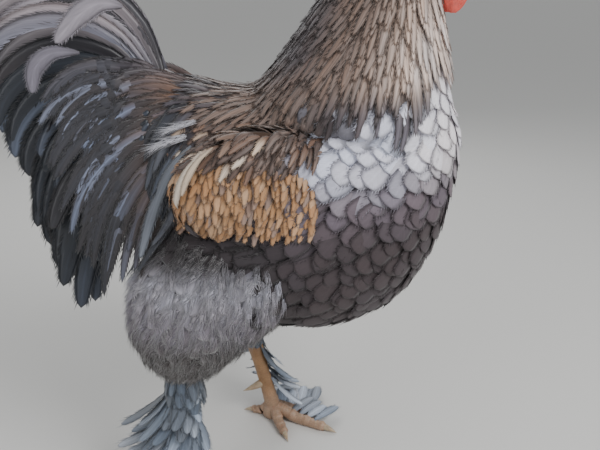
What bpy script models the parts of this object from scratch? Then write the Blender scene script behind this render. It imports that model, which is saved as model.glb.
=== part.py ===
"""A brahma cock, life size, standing still on both feet.

The bird faces +X, with +Z up and its middle plane at Y = 0, in metres. The origin is on
the floor under the middle of its box. Each sub-part is one closed solid in its own object.
Hackle, saddle, wing, tail, thigh, shank and foot feathers are flat vanes rooted in the
node that they grow from. Neighbouring solids keep GAP between them.
"""

import math
import random

import bmesh
import bpy
import numpy as np
from mathutils import Matrix, Vector

# Driving sizes
MIDDLE_X = -0.0655         # the middle of the bird's length, in the frame used for the shapes below
GAP = 0.0003               # between solids that touch
VANE = 0.0009              # thickness of a body feather's vane
TAIL_VANE = 0.0009         # thickness of a tail or leg feather's vane
WING_PROUD = 0.0055        # how far the folded wing stands off the torso
WING_OVER_ALL = 0.0150     # the same out to its own feathers, with room for the hackle to pass
SINK = 0.004               # how deep a feather's root sits in what it grows from
FOOT_Y = 0.076             # from the middle plane to each foot
SHANK_RADIUS = 0.0098
EYE = Vector((0.1430, 0.0185, 0.6300))
EYE_RADIUS = 0.0066

# Rings of the torso: x, top, underside, half width
TORSO = (
    (-0.176, 0.446, 0.405, 0.020),
    (-0.160, 0.472, 0.340, 0.055),
    (-0.125, 0.482, 0.272, 0.086),
    (-0.080, 0.474, 0.226, 0.103),
    (-0.030, 0.474, 0.202, 0.111),
    (0.025, 0.482, 0.197, 0.111),
    (0.075, 0.488, 0.212, 0.105),
    (0.115, 0.486, 0.243, 0.093),
    (0.145, 0.474, 0.296, 0.072),
    (0.162, 0.452, 0.360, 0.045),
    (0.169, 0.436, 0.412, 0.018),
)

# Rings of the neck's feathered surface, from the head down: front x and z, nape x and z, half width
NECK = (
    (0.129, 0.606, 0.082, 0.642, 0.021),
    (0.134, 0.588, 0.062, 0.618, 0.031),
    (0.141, 0.562, 0.038, 0.586, 0.042),
    (0.147, 0.536, 0.016, 0.553, 0.052),
    (0.152, 0.508, -0.002, 0.526, 0.064),
    (0.156, 0.480, -0.020, 0.500, 0.078),
    (0.160, 0.450, -0.036, 0.479, 0.090),
    (0.163, 0.415, -0.056, 0.458, 0.098),
)

# Rings of the right thigh and its fluff: front x and z, back x and z, half width, and distance
# from the middle plane
THIGH_RIGHT = (
    (0.015, 0.350, -0.140, 0.352, 0.030, 0.058),
    (0.020, 0.318, -0.160, 0.318, 0.050, 0.066),
    (0.010, 0.280, -0.184, 0.276, 0.058, 0.070),
    (-0.020, 0.238, -0.190, 0.236, 0.055, 0.072),
    (-0.056, 0.202, -0.182, 0.200, 0.044, 0.073),
    (-0.088, 0.176, -0.164, 0.174, 0.030, 0.073),
    (-0.110, 0.158, -0.146, 0.157, 0.015, 0.073),
)
THIGH_LEFT = (
    (0.075, 0.340, -0.095, 0.345, 0.030, 0.058),
    (0.078, 0.305, -0.115, 0.308, 0.050, 0.066),
    (0.066, 0.262, -0.130, 0.260, 0.058, 0.070),
    (0.036, 0.218, -0.132, 0.216, 0.055, 0.072),
    (-0.002, 0.178, -0.122, 0.178, 0.043, 0.073),
    (-0.030, 0.149, -0.104, 0.148, 0.029, 0.073),
    (-0.050, 0.131, -0.086, 0.130, 0.015, 0.073),
)

# Each leg: hock and toe joint x, hock height, the heading of its middle toe in degrees, inwards positive,
# and the length of its toe feathers
LEGS = {
    "right": {"side": -1, "hock_x": -0.130, "hock_z": 0.166, "foot_x": -0.118, "toe_in": 2.0,
              "toe_feather": 0.050, "thigh": THIGH_RIGHT},
    "left": {"side": 1, "hock_x": -0.070, "hock_z": 0.139, "foot_x": -0.038, "toe_in": 26.0,
             "toe_feather": 0.068, "thigh": THIGH_LEFT},
}

# Each toe: angle from the middle toe in degrees (outwards negative), length without its claw,
# joint radius and tip radius
TOES = {
    "inner": (44.0, 0.050, 0.0076, 0.0052),
    "middle": (0.0, 0.080, 0.0086, 0.0056),
    "outer": (-36.0, 0.058, 0.0076, 0.0052),
    "hind": (168.0, 0.030, 0.0066, 0.0048),
}
CLAW_LENGTH = {"inner": 0.015, "middle": 0.018, "outer": 0.015, "hind": 0.014}
CLAW_DROP = 0.0042
KNUCKLES = 5
KNUCKLE_SWELL = 0.0006
TOE_ROOT = 0.007           # from the middle of the pad to the first ring of each toe
TOE_ROOT_Z = 0.0150
TOE_SINK = 0.9             # height of a toe's middle line on the floor, in toe radii
SPUR_SHARE = 0.70          # how far down the shank the spur grows
SPUR_LENGTH = 0.026
SPUR_RADIUS = 0.0056

# Materials: base colour, roughness
FINISHES = {
    "hackle_feather": ((0.22, 0.16, 0.125), 0.6),
    "breast_feather": ((0.36, 0.35, 0.40), 0.65),
    "wing_feather": ((0.47, 0.28, 0.15), 0.6),
    "tail_feather": ((0.13, 0.15, 0.19), 0.5),
    "fluff": ((0.24, 0.22, 0.24), 0.8),
    "leg_feather": ((0.33, 0.39, 0.47), 0.65),
    "leg_scale": ((0.60, 0.36, 0.18), 0.5),
    "horn": ((0.62, 0.50, 0.33), 0.35),
    "red_skin": ((0.70, 0.06, 0.05), 0.45),
    "eye": ((0.45, 0.13, 0.03), 0.1),
}


# General shapes

def through(values, t):
    """The value at t, from 0 to 1, of a smooth curve through a row of values."""
    values = np.asarray(values, float)
    last = len(values) - 1
    u = min(max(t, 0.0), 1.0) * last
    i = min(int(u), last - 1)
    f = u - i
    p0, p1 = values[max(i - 1, 0)], values[i]
    p2, p3 = values[i + 1], values[min(i + 2, last)]
    bend = 2 * p0 - 5 * p1 + 4 * p2 - p3
    return 0.5 * (2 * p1 + (p2 - p0) * f + bend * f * f + (3 * p1 - p0 - 3 * p2 + p3) * f ** 3)


class Form:
    """A soft body lofted through rings. A ring runs through two opposite points of its
    middle plane, a and b, and through half_width to either side of that plane."""

    def __init__(self, rings, along, fullness=2.25):
        self.rings = np.array([(*r, 0.0) if len(r) == 5 else r for r in rings], float)
        self.along = along          # 0 where the rings follow each other along X, 2 along Z
        self.power = fullness

    def ring(self, s):
        """Centre, half axis in the middle plane and half width of the ring at s, from 0 to 1."""
        ax, az, bx, bz, width, y = through(self.rings, s)
        centre = Vector(((ax + bx) / 2, y, (az + bz) / 2))
        return centre, Vector(((ax - bx) / 2, 0, (az - bz) / 2)), width

    def spot(self, s, angle):
        """The surface point at s and at an angle in degrees, 0 at point a and 90 towards +Y."""
        centre, axis, width = self.ring(s)
        c, d = math.cos(math.radians(angle)), math.sin(math.radians(angle))
        k = 2 / self.power
        side = math.copysign(abs(d) ** k, d) * width
        return centre + axis * math.copysign(abs(c) ** k, c) + Vector((0, side, 0))

    def normal(self, s, angle):
        low, high = max(s - 0.02, 0.0), min(s + 0.02, 1.0)
        down = self.spot(high, angle) - self.spot(low, angle)
        round_it = self.spot(s, angle + 4) - self.spot(s, angle - 4)
        out = down.cross(round_it).normalized()
        centre = self.ring(s)[0]
        return out if out.dot(self.spot(s, angle) - centre) > 0 else -out

    def push_out(self, point, gap):
        """point, or the nearest place on its own ring that is gap outside the surface."""
        low, high = 0.0, 1.0
        rising = self.ring(1.0)[0][self.along] > self.ring(0.0)[0][self.along]
        for _ in range(16):
            middle = (low + high) / 2
            if (self.ring(middle)[0][self.along] < point[self.along]) == rising:
                low = middle
            else:
                high = middle
        if low < 1e-4 or low > 0.9999:
            return point
        centre, axis, width = self.ring(low)
        away = point - centre
        away[self.along] = 0
        if away.length < 1e-5:
            return point
        u = away.dot(axis) / axis.length_squared
        q = (abs(u) ** self.power + abs(away.y / width) ** self.power) ** (1 / self.power)
        reach = away.length / q + gap
        return point if away.length >= reach else point + away * (reach / away.length - 1)

    def rows(self, count, around):
        """Rings of points for a loft."""
        step = 360 / around
        return [[self.spot(i / (count - 1), j * step) for j in range(around)] for i in range(count)]


def loft(rows):
    """Corners and faces of the closed body through rows of points, with a flat fan at each end."""
    around = len(rows[0])
    corners = [p for row in rows for p in row]
    faces = []
    for i in range(len(rows) - 1):
        for j in range(around):
            k = (j + 1) % around
            faces.append((i * around + j, i * around + k, (i + 1) * around + k, (i + 1) * around + j))
    for first, row in ((0, rows[0]), ((len(rows) - 1) * around, rows[-1])):
        corners.append(sum(row, Vector()) / around)
        for j in range(around):
            faces.append((first + (j + 1) % around, first + j, len(corners) - 1))
    return corners, faces


def mesh_from(name, corners, faces):
    """A mesh of triangles whose faces point out."""
    bm = bmesh.new()
    made = [bm.verts.new(p) for p in corners]
    for face in faces:
        bm.faces.new([made[i] for i in face])
    bmesh.ops.recalc_face_normals(bm, faces=bm.faces)
    bmesh.ops.triangulate(bm, faces=bm.faces)
    mesh = bpy.data.meshes.new(name)
    bm.to_mesh(mesh)
    bm.free()
    return mesh


def tube_rows(path, radii, sides=10, flat=1.0, floor=None):
    """Round rings along a path. flat squeezes them along Z, and floor is the lowest height allowed."""
    rows = []
    for i, (p, r) in enumerate(zip(path, radii)):
        ahead = (path[min(i + 1, len(path) - 1)] - path[max(i - 1, 0)]).normalized()
        across = ahead.cross(Vector((0, 0, 1)))
        if across.length < 0.2:
            across = Vector((0, 1, 0)).cross(ahead)
        across.normalize()
        up = across.cross(ahead).normalized()
        row = []
        for j in range(sides):
            turn = 2 * math.pi * (j + 0.5) / sides
            q = p + across * math.cos(turn) * r + up * math.sin(turn) * r * flat
            if floor is not None:
                q.z = max(q.z, floor)
            row.append(q)
        rows.append(row)
    return rows


def blade(t, widest, tip, root=0.45):
    """Half width of a vane at t along it, as a share of its widest: tip 2 is round, 1 is pointed."""
    if t < widest:
        return root + (1 - root) * math.sin(math.pi / 2 * t / widest)
    left = (t - widest) / (1 - widest)
    return max(1 - left ** tip, 0.0) ** (1 / tip) * 0.92 + 0.08


def vane(path, outs, half_widths, thickness, roll=0.0, clear=None, clear_from=1):
    """Corners and triangles of a feather's flat vane, split alike on both faces.
    clear moves its corners off other bodies, from the station clear_from on."""
    corners, faces = [], []
    last = len(path) - 1
    for i, (p, out, half) in enumerate(zip(path, outs, half_widths)):
        ahead = (path[min(i + 1, last)] - path[max(i - 1, 0)]).normalized()
        across = ahead.cross(out).normalized()
        up = across.cross(ahead).normalized()
        across = across * math.cos(roll) + up * math.sin(roll)
        thick = thickness * (0.6 if i == last else 1.0)
        ends = [p - across * half, p + across * half]
        if clear and i >= clear_from:
            ends = [clear(q) for q in ends]
        corners += [ends[0] + up * thick, ends[1] + up * thick, ends[1], ends[0]]
    for i in range(last):
        a, b = 4 * i, 4 * i + 4
        faces += [(a, a + 1, b + 1), (a, b + 1, b)]                      # upper face
        faces += [(a + 3, b + 2, a + 2), (a + 3, b + 3, b + 2)]          # lower face
        faces += [(a + 1, a + 2, b + 2), (a + 1, b + 2, b + 1)]
        faces += [(a, b, b + 3), (a, b + 3, a + 3)]
    end = 4 * last
    faces += [(0, 3, 2), (0, 2, 1), (end, end + 1, end + 2), (end, end + 2, end + 3)]
    return corners, faces


def free_path(start, heading, sag, length, stations, power=1.2):
    """Points of a feather that leaves start along heading and turns towards sag."""
    steps = 24
    points, at = [start.copy()], start.copy()
    for i in range(steps):
        share = ((i + 0.5) / steps) ** power
        at = at + (heading * (1 - share) + sag * share).normalized() * (length / steps)
        points.append(at.copy())
    return [points[round(t * steps)] for t in stations]


# Objects, Booleans and materials

def finish_of(name):
    material = bpy.data.materials.get(name)
    if material is None:
        colour, roughness = FINISHES[name]
        material = bpy.data.materials.new(name)
        material.use_nodes = True
        shader = material.node_tree.nodes["Principled BSDF"]
        shader.inputs["Base Color"].default_value = (*colour, 1)
        shader.inputs["Roughness"].default_value = roughness
        shader.inputs["Metallic"].default_value = 0.0
    return material


def new_object(name, mesh, collection=None):
    obj = bpy.data.objects.new(name, mesh)
    (collection or bpy.context.scene.collection).objects.link(obj)
    return obj


def solid(name, corners, faces):
    return new_object(name, mesh_from(name, corners, faces))


def ball(name, centre, radii, segments=16, rings=10, turn=0.0):
    """A round lump with its poles along Y, turned about Y."""
    bm = bmesh.new()
    bmesh.ops.create_uvsphere(bm, u_segments=segments, v_segments=rings, radius=1)
    place = Matrix.Translation(centre) @ Matrix.Rotation(turn, 4, "Y")
    place = place @ Matrix.Diagonal((*radii, 1)) @ Matrix.Rotation(math.pi / 2, 4, "X")
    bmesh.ops.transform(bm, matrix=place, verts=bm.verts)
    bmesh.ops.triangulate(bm, faces=bm.faces)
    mesh = bpy.data.meshes.new(name)
    bm.to_mesh(mesh)
    bm.free()
    return new_object(name, mesh)


def bake_modifiers(obj):
    """The object's evaluated mesh takes the place of its own, reduced to its largest closed surface."""
    bpy.context.view_layer.update()
    graph = bpy.context.evaluated_depsgraph_get()
    mesh = bpy.data.meshes.new_from_object(obj.evaluated_get(graph))
    obj.modifiers.clear()
    old, obj.data = obj.data, mesh
    bpy.data.meshes.remove(old)
    keep_largest(obj)


def keep_largest(obj):
    bm = bmesh.new()
    bm.from_mesh(obj.data)
    islands, seen = [], set()
    for start in bm.verts:
        if start in seen:
            continue
        island, edge = [], [start]
        seen.add(start)
        while edge:
            v = edge.pop()
            island.append(v)
            for link in v.link_edges:
                other = link.other_vert(v)
                if other not in seen:
                    seen.add(other)
                    edge.append(other)
        islands.append(island)
    if len(islands) > 1:
        islands.sort(key=box_size)
        loose = [v for island in islands[:-1] for v in island]
        bmesh.ops.delete(bm, geom=loose, context="VERTS")
    bmesh.ops.triangulate(bm, faces=bm.faces)
    bm.to_mesh(obj.data)
    bm.free()


def box_size(verts):
    points = np.array([v.co for v in verts])
    return float(np.prod(points.max(0) - points.min(0) + 1e-6))


def join(obj, pieces):
    """Fuses closed pieces, given as corners and faces or as objects, into obj."""
    group = bpy.data.collections.new("pieces")
    bpy.context.scene.collection.children.link(group)
    for piece in pieces:
        if isinstance(piece, tuple):
            new_object("piece", mesh_from("piece", *piece), group)
        else:
            bpy.context.scene.collection.objects.unlink(piece)
            group.objects.link(piece)
    union = obj.modifiers.new("union", "BOOLEAN")
    union.operation = "UNION"
    union.solver = "MANIFOLD"
    union.operand_type = "COLLECTION"
    union.collection = group
    bake_modifiers(obj)
    for piece in list(group.objects):
        bpy.data.objects.remove(piece)
    bpy.data.collections.remove(group)
    return obj


def swollen(obj, by):
    """A copy whose surface stands out by a small amount, to cut a neighbour with."""
    copy = new_object(obj.name + "_swollen", obj.data.copy())
    normals = [v.normal.copy() for v in copy.data.vertices]
    for v, n in zip(copy.data.vertices, normals):
        v.co += n * by
    return copy


def cut(obj, cutter, operation="DIFFERENCE"):
    """Takes a cutter out of obj, or keeps what both hold, and removes the cutter."""
    change = obj.modifiers.new("cut", "BOOLEAN")
    change.operation = operation
    change.solver = "MANIFOLD"
    change.object = cutter
    bake_modifiers(obj)
    bpy.data.objects.remove(cutter)
    return obj


def make_room(obj, *neighbours, by=GAP):
    """Cuts obj clear of its neighbours."""
    for neighbour in neighbours:
        cut(obj, swollen(neighbour, by))
    return obj


# Torso, with the saddle feathers of the back

torso_form = Form([(x, top, x, low, width) for x, top, low, width in TORSO], along=0)


def step_up(value, low, high):
    t = min(max((value - low) / (high - low), 0.0), 1.0)
    return t * t * (3 - 2 * t)


def over_wing(p):
    """How far a hackle feather stands off the torso to pass over the front of the folded wing."""
    across = step_up(p.x, -0.140, -0.125) * (1 - step_up(p.x, 0.020, 0.034))
    height = step_up(p.z, 0.320, 0.335) * (1 - step_up(p.z, 0.440, 0.452))
    return WING_OVER_ALL * across * height


def clear_of_torso(gap, wings=False, thighs=False):
    """A rule that moves a vane's corner clear of the torso, the wings and the thighs."""
    def rule(p):
        q = torso_form.push_out(p, gap + (over_wing(p) if wings else 0.0))
        if thighs:
            for form in thigh_forms.values():
                if q.y * form.rings[0][5] > 0:
                    q = form.push_out(q, gap)
        return q
    return rule


def shingle(form, s0, a0, ds, da, length_stations, half, lift, thickness=VANE, roll=0.0,
            clear=None, widest=0.5, tip=1.6):
    """A vane that follows a form's surface from its root at (s0, a0), lifting towards its tip."""
    path, outs, halves = [], [], []
    for t in length_stations:
        s, a = min(max(s0 + ds * t, 0.0), 1.0), a0 + da * t
        out = form.normal(s, a)
        rise = -SINK if t == 0 else 0.0008 + lift * t
        path.append(form.spot(s, a) + out * rise)
        outs.append(out)
        halves.append(half * blade(t, widest, tip))
    return vane(path, outs, halves, thickness, roll, clear)


SADDLE_TIERS = (
    # s of the roots, angles of a side's first and last, count to a side, length in s, fall in degrees
    (0.375, 4, 56, 4, 0.145, 6),
    (0.300, 30, 60, 3, 0.100, 5),
    (0.195, 62, 98, 3, 0.090, 14),
)
SADDLE_STATIONS = (0.0, 0.25, 0.7, 1.0)
SADDLE_HALF = 0.0130
SADDLE_LIFT = 0.0085


def saddle_vanes(draw):
    vanes = []
    for s0, first, last, count, length, fall in SADDLE_TIERS:
        for side in (-1, 1):
            for i in range(count):
                angle = first + (last - first) * (i + (0.5 if first < 8 else 0.0)) / (count - 0.5)
                vanes.append(shingle(
                    torso_form, s0 + draw.uniform(-0.008, 0.008), side * angle,
                    -length * draw.uniform(0.94, 1.06), side * fall * angle / last,
                    SADDLE_STATIONS, SADDLE_HALF, SADDLE_LIFT, roll=0.06, widest=0.4, tip=1.35))
    return vanes


# Neck, with the hackle that falls over the shoulders

neck_form = Form(NECK, along=2)
HACKLE_TIERS = (
    # s of the roots, count, angle of the first from the front, length in s, half width, lift
    (0.03, 5, 54, 0.21, 0.0095, 0.0070),
    (0.16, 7, 48, 0.25, 0.0115, 0.0085),
    (0.31, 8, 42, 0.28, 0.0130, 0.0095),
    (0.48, 8, 37, 0.32, 0.0155, 0.0100),
    (0.66, 10, 34, 0.32, 0.0150, 0.0100),
)
HACKLE_STATIONS = (0.0, 0.25, 0.7, 1.0)


def hackle_vanes(draw):
    """Tiers that run from one side of the throat round the nape to the other."""
    vanes = []
    over_body = clear_of_torso(0.0012, wings=True)
    for s0, count, first, length, half, lift in HACKLE_TIERS:
        for i in range(count):
            angle = first + (360 - 2 * first) * i / (count - 1)
            nape = 1 - abs(angle / 180 - 1)
            reach = length * draw.uniform(0.95, 1.05) * (1 - 0.25 * nape if s0 > 0.6 else 1)
            vanes.append(shingle(
                neck_form, s0 + draw.uniform(-0.008, 0.008), angle, reach, 0.0, HACKLE_STATIONS,
                half, lift, roll=0.06, clear=over_body, widest=0.45, tip=1.25))
    return vanes


# Wings: a plate folded against the torso's side, with flight feathers and coverts

WING_OUTLINE = (           # x and z, from the shoulder under the hackle round by the lower edge to the tip
    (0.012, 0.424), (0.016, 0.398), (0.010, 0.366), (-0.010, 0.348), (-0.050, 0.343), (-0.090, 0.350),
    (-0.114, 0.364), (-0.127, 0.380), (-0.121, 0.398), (-0.096, 0.424), (-0.052, 0.441), (-0.012, 0.440),
)
WING_X = (0.012, -0.118)   # the shoulder and the wing tip
WING_TOP = (0.430, 0.440, 0.440, 0.430, 0.402)
WING_LOW = (0.362, 0.346, 0.343, 0.350, 0.368)


def side_y(x, z):
    """Half width of the torso at x and height z."""
    low, high = 0.0, 1.0
    for _ in range(18):
        middle = (low + high) / 2
        low, high = (middle, high) if torso_form.ring(middle)[0].x < x else (low, middle)
    centre, axis, width = torso_form.ring(low)
    u = min(abs(z - centre.z) / axis.length, 0.98)
    return width * (1 - u ** torso_form.power) ** (1 / torso_form.power)


def wing_plate(name, side, torso):
    """The torso's own surface inside the wing's outline, from GAP to WING_PROUD above it."""
    plate = swollen(torso, WING_PROUD)
    plate.name = name
    ends = [[Vector((x, side * y, z)) for x, z in WING_OUTLINE] for y in (0.03, 0.20)]
    cut(plate, solid("outline", *loft(ends)), "INTERSECT")
    return make_room(plate, torso)


def wing_place(u, v):
    """x and z over the wing: u runs from the shoulder to the tip, v from the lower to the upper edge."""
    x = WING_X[0] + (WING_X[1] - WING_X[0]) * u
    low, top = float(through(WING_LOW, u)), float(through(WING_TOP, u))
    return x, low + (top - low) * v


def wing_vane(side, u0, v0, u1, v1, half, lift, stations, tip, roll):
    """A vane over the wing from (u0, v0) to (u1, v1), with its root sunk in the plate."""
    path, outs, halves = [], [], []
    (x0, z0), (x1, z1) = wing_place(u0, v0), wing_place(u1, v1)
    for t in stations:
        x, z = x0 + (x1 - x0) * t, z0 + (z1 - z0) * t
        rise = WING_PROUD - SINK if t == 0 else WING_PROUD + 0.0016 + lift * t
        slope_x = (side_y(x + 0.004, z) - side_y(x - 0.004, z)) / 0.008
        slope_z = (side_y(x, z + 0.004) - side_y(x, z - 0.004)) / 0.008
        out = Vector((-slope_x, side, -slope_z)).normalized()
        path.append(Vector((x, side * side_y(x, z), z)) + out * rise)
        outs.append(out)
        halves.append(half * blade(t, 0.55, tip))
    return vane(path, outs, halves, VANE, roll)


WING_COVERTS = (
    # v of the roots, v of the tips, count, u of the first and last, lean, half width, lift, tip
    (0.34, -0.10, 6, 0.10, 0.92, 0.05, 0.0118, 0.0066, 1.8),
    (0.60, 0.16, 5, 0.14, 0.86, 0.05, 0.0130, 0.0068, 1.8),
    (0.86, 0.42, 4, 0.16, 0.80, 0.09, 0.0150, 0.0070, 1.5),
)


def wing_vanes(side, draw):
    """Flight feathers folded under rows of coverts that hang over them."""
    vanes = []
    for i in range(2):
        vanes.append(wing_vane(side, 0.64, 0.16 + 0.30 * i, 1.14 - 0.03 * i, 0.06 + 0.34 * i, 0.0100,
                               0.0012, (0.0, 0.25, 0.7, 1.0), 2.0, -side * 0.14))
    for v0, v1, count, first, last, lean, half, lift, tip in WING_COVERTS:
        for i in range(count):
            u = first + (last - first) * i / (count - 1) + draw.uniform(-0.006, 0.006)
            vanes.append(wing_vane(side, u, v0, u + lean, v1 + draw.uniform(-0.03, 0.03), half, lift,
                                   (0.0, 0.3, 0.75, 1.0), tip, side * 0.14))
    return vanes


# Tail: main feathers, sickles and coverts that spring from the rump and arch over. They lie in
# nested leaves to each side: a leaf stands further out the lower and the longer its feathers reach.

RUMP = Vector((-0.146, 0.0, 0.452))
LEAF_STEP = 0.0018         # from one feather's plane to the next
TAIL_LEAVES = (
    # count, first and last elevation at the root and at the tip, first and last length, half width, curl,
    # share of the splay
    (4, 76, 6, -10, -40, 0.150, 0.115, 0.0185, 1.20, 0.40),
    (3, 86, 66, -66, -76, 0.246, 0.222, 0.0180, 1.25, 0.60),
    (4, 56, 20, -80, -86, 0.194, 0.160, 0.0180, 1.10, 0.80),
    (5, 12, -44, -88, -84, 0.165, 0.205, 0.0175, 0.65, 1.00),
)
TAIL_STATIONS = (0.0, 0.20, 0.46, 0.74, 1.0)
TAIL_SPLAY = 0.29          # how far the lowest feathers of the outer leaf spread for each unit of reach
TAIL_TURN = 0.72           # how fast that spread grows from the top feather down
HUGGING_LAYER = 10         # the feathers outside this one lie over each other along the rump
TAIL_QUILL = 0.016         # from the middle of the rump to where a tail feather starts
TAIL_ROOT = (0.034, 0.050, 0.040)


def tail_surface(x, z, layer, share):
    """Distance from the middle plane of a tail leaf at x and z, and its slopes along x and z."""
    dx, dz = x - RUMP.x, z - RUMP.z
    reach = max(math.hypot(dx, dz), 1e-6)
    drop = TAIL_TURN * (math.radians(85) - math.atan2(dz, -dx))
    splay = share * (0.05 + TAIL_SPLAY * math.sin(drop))
    turn = -share * TAIL_SPLAY * TAIL_TURN * math.cos(drop)
    y = 0.0024 + LEAF_STEP * layer + splay * reach
    return y, (splay * dx - turn * -dz) / reach, (splay * dz + turn * -dx) / reach


def arched_path(up, down, length, curl):
    """A tail feather's midline: it rises backwards at up degrees and turns over to down degrees."""
    steps = 24
    at = RUMP + Vector((-math.cos(math.radians(up)), 0, math.sin(math.radians(up)))) * TAIL_QUILL
    points = [at.copy()]
    for i in range(steps):
        turned = math.radians(up + (down - up) * ((i + 0.5) / steps) ** curl)
        at = at + Vector((-math.cos(turned), 0, math.sin(turned))) * (length / steps)
        points.append(at.copy())
    return [points[round(t * steps)] for t in TAIL_STATIONS]


def tail_vanes(draw):
    vanes = []
    for side in (1, -1):
        layer = 0
        for count, up0, up1, down0, down1, long0, long1, half, curl, share_out in TAIL_LEAVES:
            for i in range(count):
                share = i / (count - 1)
                line = arched_path(up0 + (up1 - up0) * share + draw.uniform(-3, 3),
                                   down0 + (down1 - down0) * share + draw.uniform(-6, 6),
                                   (long0 + (long1 - long0) * share) * draw.uniform(0.96, 1.04), curl)
                path, outs = [], []
                for p in line:
                    y, slope_x, slope_z = tail_surface(p.x, p.z, layer, share_out)
                    path.append(Vector((p.x, side * y, p.z)))
                    outs.append(Vector((-slope_x, side, -slope_z)).normalized())
                halves = [half * blade(t, 0.6, 2.0, root=0.35) for t in TAIL_STATIONS]
                clear = clear_of_torso(0.0012 + LEAF_STEP * max(layer - HUGGING_LAYER, 0), thighs=True)
                vanes.append(vane(path, outs, halves, TAIL_VANE, clear=clear, clear_from=0))
                layer += 1
    return vanes


# Thighs, with the fluff that hides the hocks

thigh_forms = {
    leg: Form([(*ring[:5], facts["side"] * ring[5]) for ring in facts["thigh"]], along=2, fullness=2.1)
    for leg, facts in LEGS.items()
}
FLUFF_TIERS = (
    # s of the roots, count, length in s, half width, lift
    (0.40, 6, 0.27, 0.0160, 0.0080),
    (0.60, 5, 0.28, 0.0150, 0.0080),
)
FLUFF_STATIONS = (0.0, 0.25, 0.7, 1.0)


def fluff_vanes(leg, draw):
    """Soft vanes on the outer side and the back of the thigh. Angle 0 is the front, 180 the back."""
    form, side = thigh_forms[leg], LEGS[leg]["side"]
    vanes = []
    for tier, (s0, count, length, half, lift) in enumerate(FLUFF_TIERS):
        for i in range(count):
            angle = 28 + 190 * (i + 0.5 * (tier % 2)) / count + draw.uniform(-4, 4)
            vanes.append(shingle(
                form, s0 + draw.uniform(-0.02, 0.02), side * angle, length * draw.uniform(0.9, 1.1),
                side * 6, FLUFF_STATIONS, half, lift, thickness=0.0011,
                roll=-side * 0.05, clear=clear_of_torso(0.0012), widest=0.5, tip=1.5))
    return vanes


# Shanks, with the feathers down their outer side

def shank_line(leg):
    facts = LEGS[leg]
    top = Vector((facts["hock_x"], facts["side"] * 0.073, facts["hock_z"] + 0.014))
    foot = Vector((facts["foot_x"], facts["side"] * FOOT_Y, 0.016))
    return top, foot


def shank_core(leg):
    top, foot = shank_line(leg)
    shares = (0.0, 0.12, 0.3, 0.6, 0.85, 1.0)
    swell = (1.45, 1.3, 1.02, 0.92, 1.0, 1.12)
    path = [top.lerp(foot, t) for t in shares]
    rows = tube_rows(path, [SHANK_RADIUS * k for k in swell], sides=10)
    return solid("shank_" + leg, *loft(rows))


SHANK_COLUMNS = (
    # swing from straight out, backwards positive, its fall at the root and at the tip, length, half width
    (-38, 0.75, 1.15, 0.050, 0.0100),
    (8, 0.70, 1.10, 0.062, 0.0110),
    (52, 0.45, 0.85, 0.092, 0.0120),
    (94, 0.20, 0.50, 0.122, 0.0125),
)
SHANK_ROOTS = (0.21, 0.44, 0.67)
SHANK_STATIONS = (0.0, 0.2, 0.6, 1.0)


def leg_heading(side, swing, fall):
    """A direction at swing degrees from straight out to the side (backwards positive), falling by fall."""
    turn = math.radians(swing)
    flat = Vector((-math.sin(turn), side * math.cos(turn), 0))
    return (flat * math.cos(fall) + Vector((0, 0, -math.sin(fall)))).normalized()


def shank_vanes(leg, draw):
    top, foot = shank_line(leg)
    side = LEGS[leg]["side"]
    vanes = []
    for row, share in enumerate(SHANK_ROOTS):
        # the toes' own feathers take the place of the foremost one of the lowest row
        for swing, fall, droop, length, half in SHANK_COLUMNS[row // 2:]:
            turned = swing + draw.uniform(-4, 4) + 10 * (row % 2)
            outwards = leg_heading(side, turned, 0.0)
            low = min(fall, 1.2 - share)
            path = free_path(top.lerp(foot, share) + outwards * (SHANK_RADIUS - SINK),
                             leg_heading(side, turned, low),
                             leg_heading(side, turned + 8, droop * (1.1 - share)),
                             length * draw.uniform(0.94, 1.06), SHANK_STATIONS)
            outs = [(outwards + Vector((0, 0, 0.75))).normalized()] * len(path)
            halves = [half * blade(t, 0.55, 1.9, root=0.25) for t in SHANK_STATIONS]
            vanes.append(vane(path, outs, halves, TAIL_VANE, clear=above_floor))
    return vanes


def above_floor(p):
    """Feathers near the ground lie just over it."""
    q = p.copy()
    q.z = max(q.z, 0.0016)
    return q


# Feet: toes with flat soles, claws, spurs and the feathers of the outer and middle toes

def toe_heading(leg, toe):
    facts = LEGS[leg]
    angle = math.radians(facts["toe_in"] + TOES[toe][0])
    return Vector((math.cos(angle), -facts["side"] * math.sin(angle), 0))


def toe_path(leg, toe):
    """Centre line and radii of a toe, from the joint under the shank to its claw."""
    _, length, thick, thin = TOES[toe]
    foot = shank_line(leg)[1]
    heading = toe_heading(leg, toe)
    path, radii = [], []
    for i in range(KNUCKLES):
        t = i / (KNUCKLES - 1)
        radius = thick + (thin - thick) * t + (KNUCKLE_SWELL if i % 2 else 0.0)
        height = TOE_ROOT_Z - (TOE_ROOT_Z - TOE_SINK * radius) * step_up(t, 0.0, 0.45)
        out = TOE_ROOT + (length - TOE_ROOT) * t
        path.append(Vector((foot.x, foot.y, 0)) + heading * out + Vector((0, 0, height)))
        radii.append(radius)
    return path, radii


# The pad under each shank: height and radius from the flat sole upwards
PAD = ((0.0, 0.0115), (0.0030, 0.0145), (0.0120, 0.0145), (0.0220, 0.0105))
PAD_SIDES = 10


def foot_core(leg):
    foot = shank_line(leg)[1]
    rows = []
    for height, radius in PAD:
        rows.append([Vector((foot.x + math.cos(2 * math.pi * j / PAD_SIDES) * radius,
                             foot.y + math.sin(2 * math.pi * j / PAD_SIDES) * radius, height))
                     for j in range(PAD_SIDES)])
    pad = solid("foot_" + leg, *loft(rows))
    toes = [loft(tube_rows(*toe_path(leg, toe), sides=7, floor=0.0)) for toe in TOES]
    return join(pad, toes)


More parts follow.
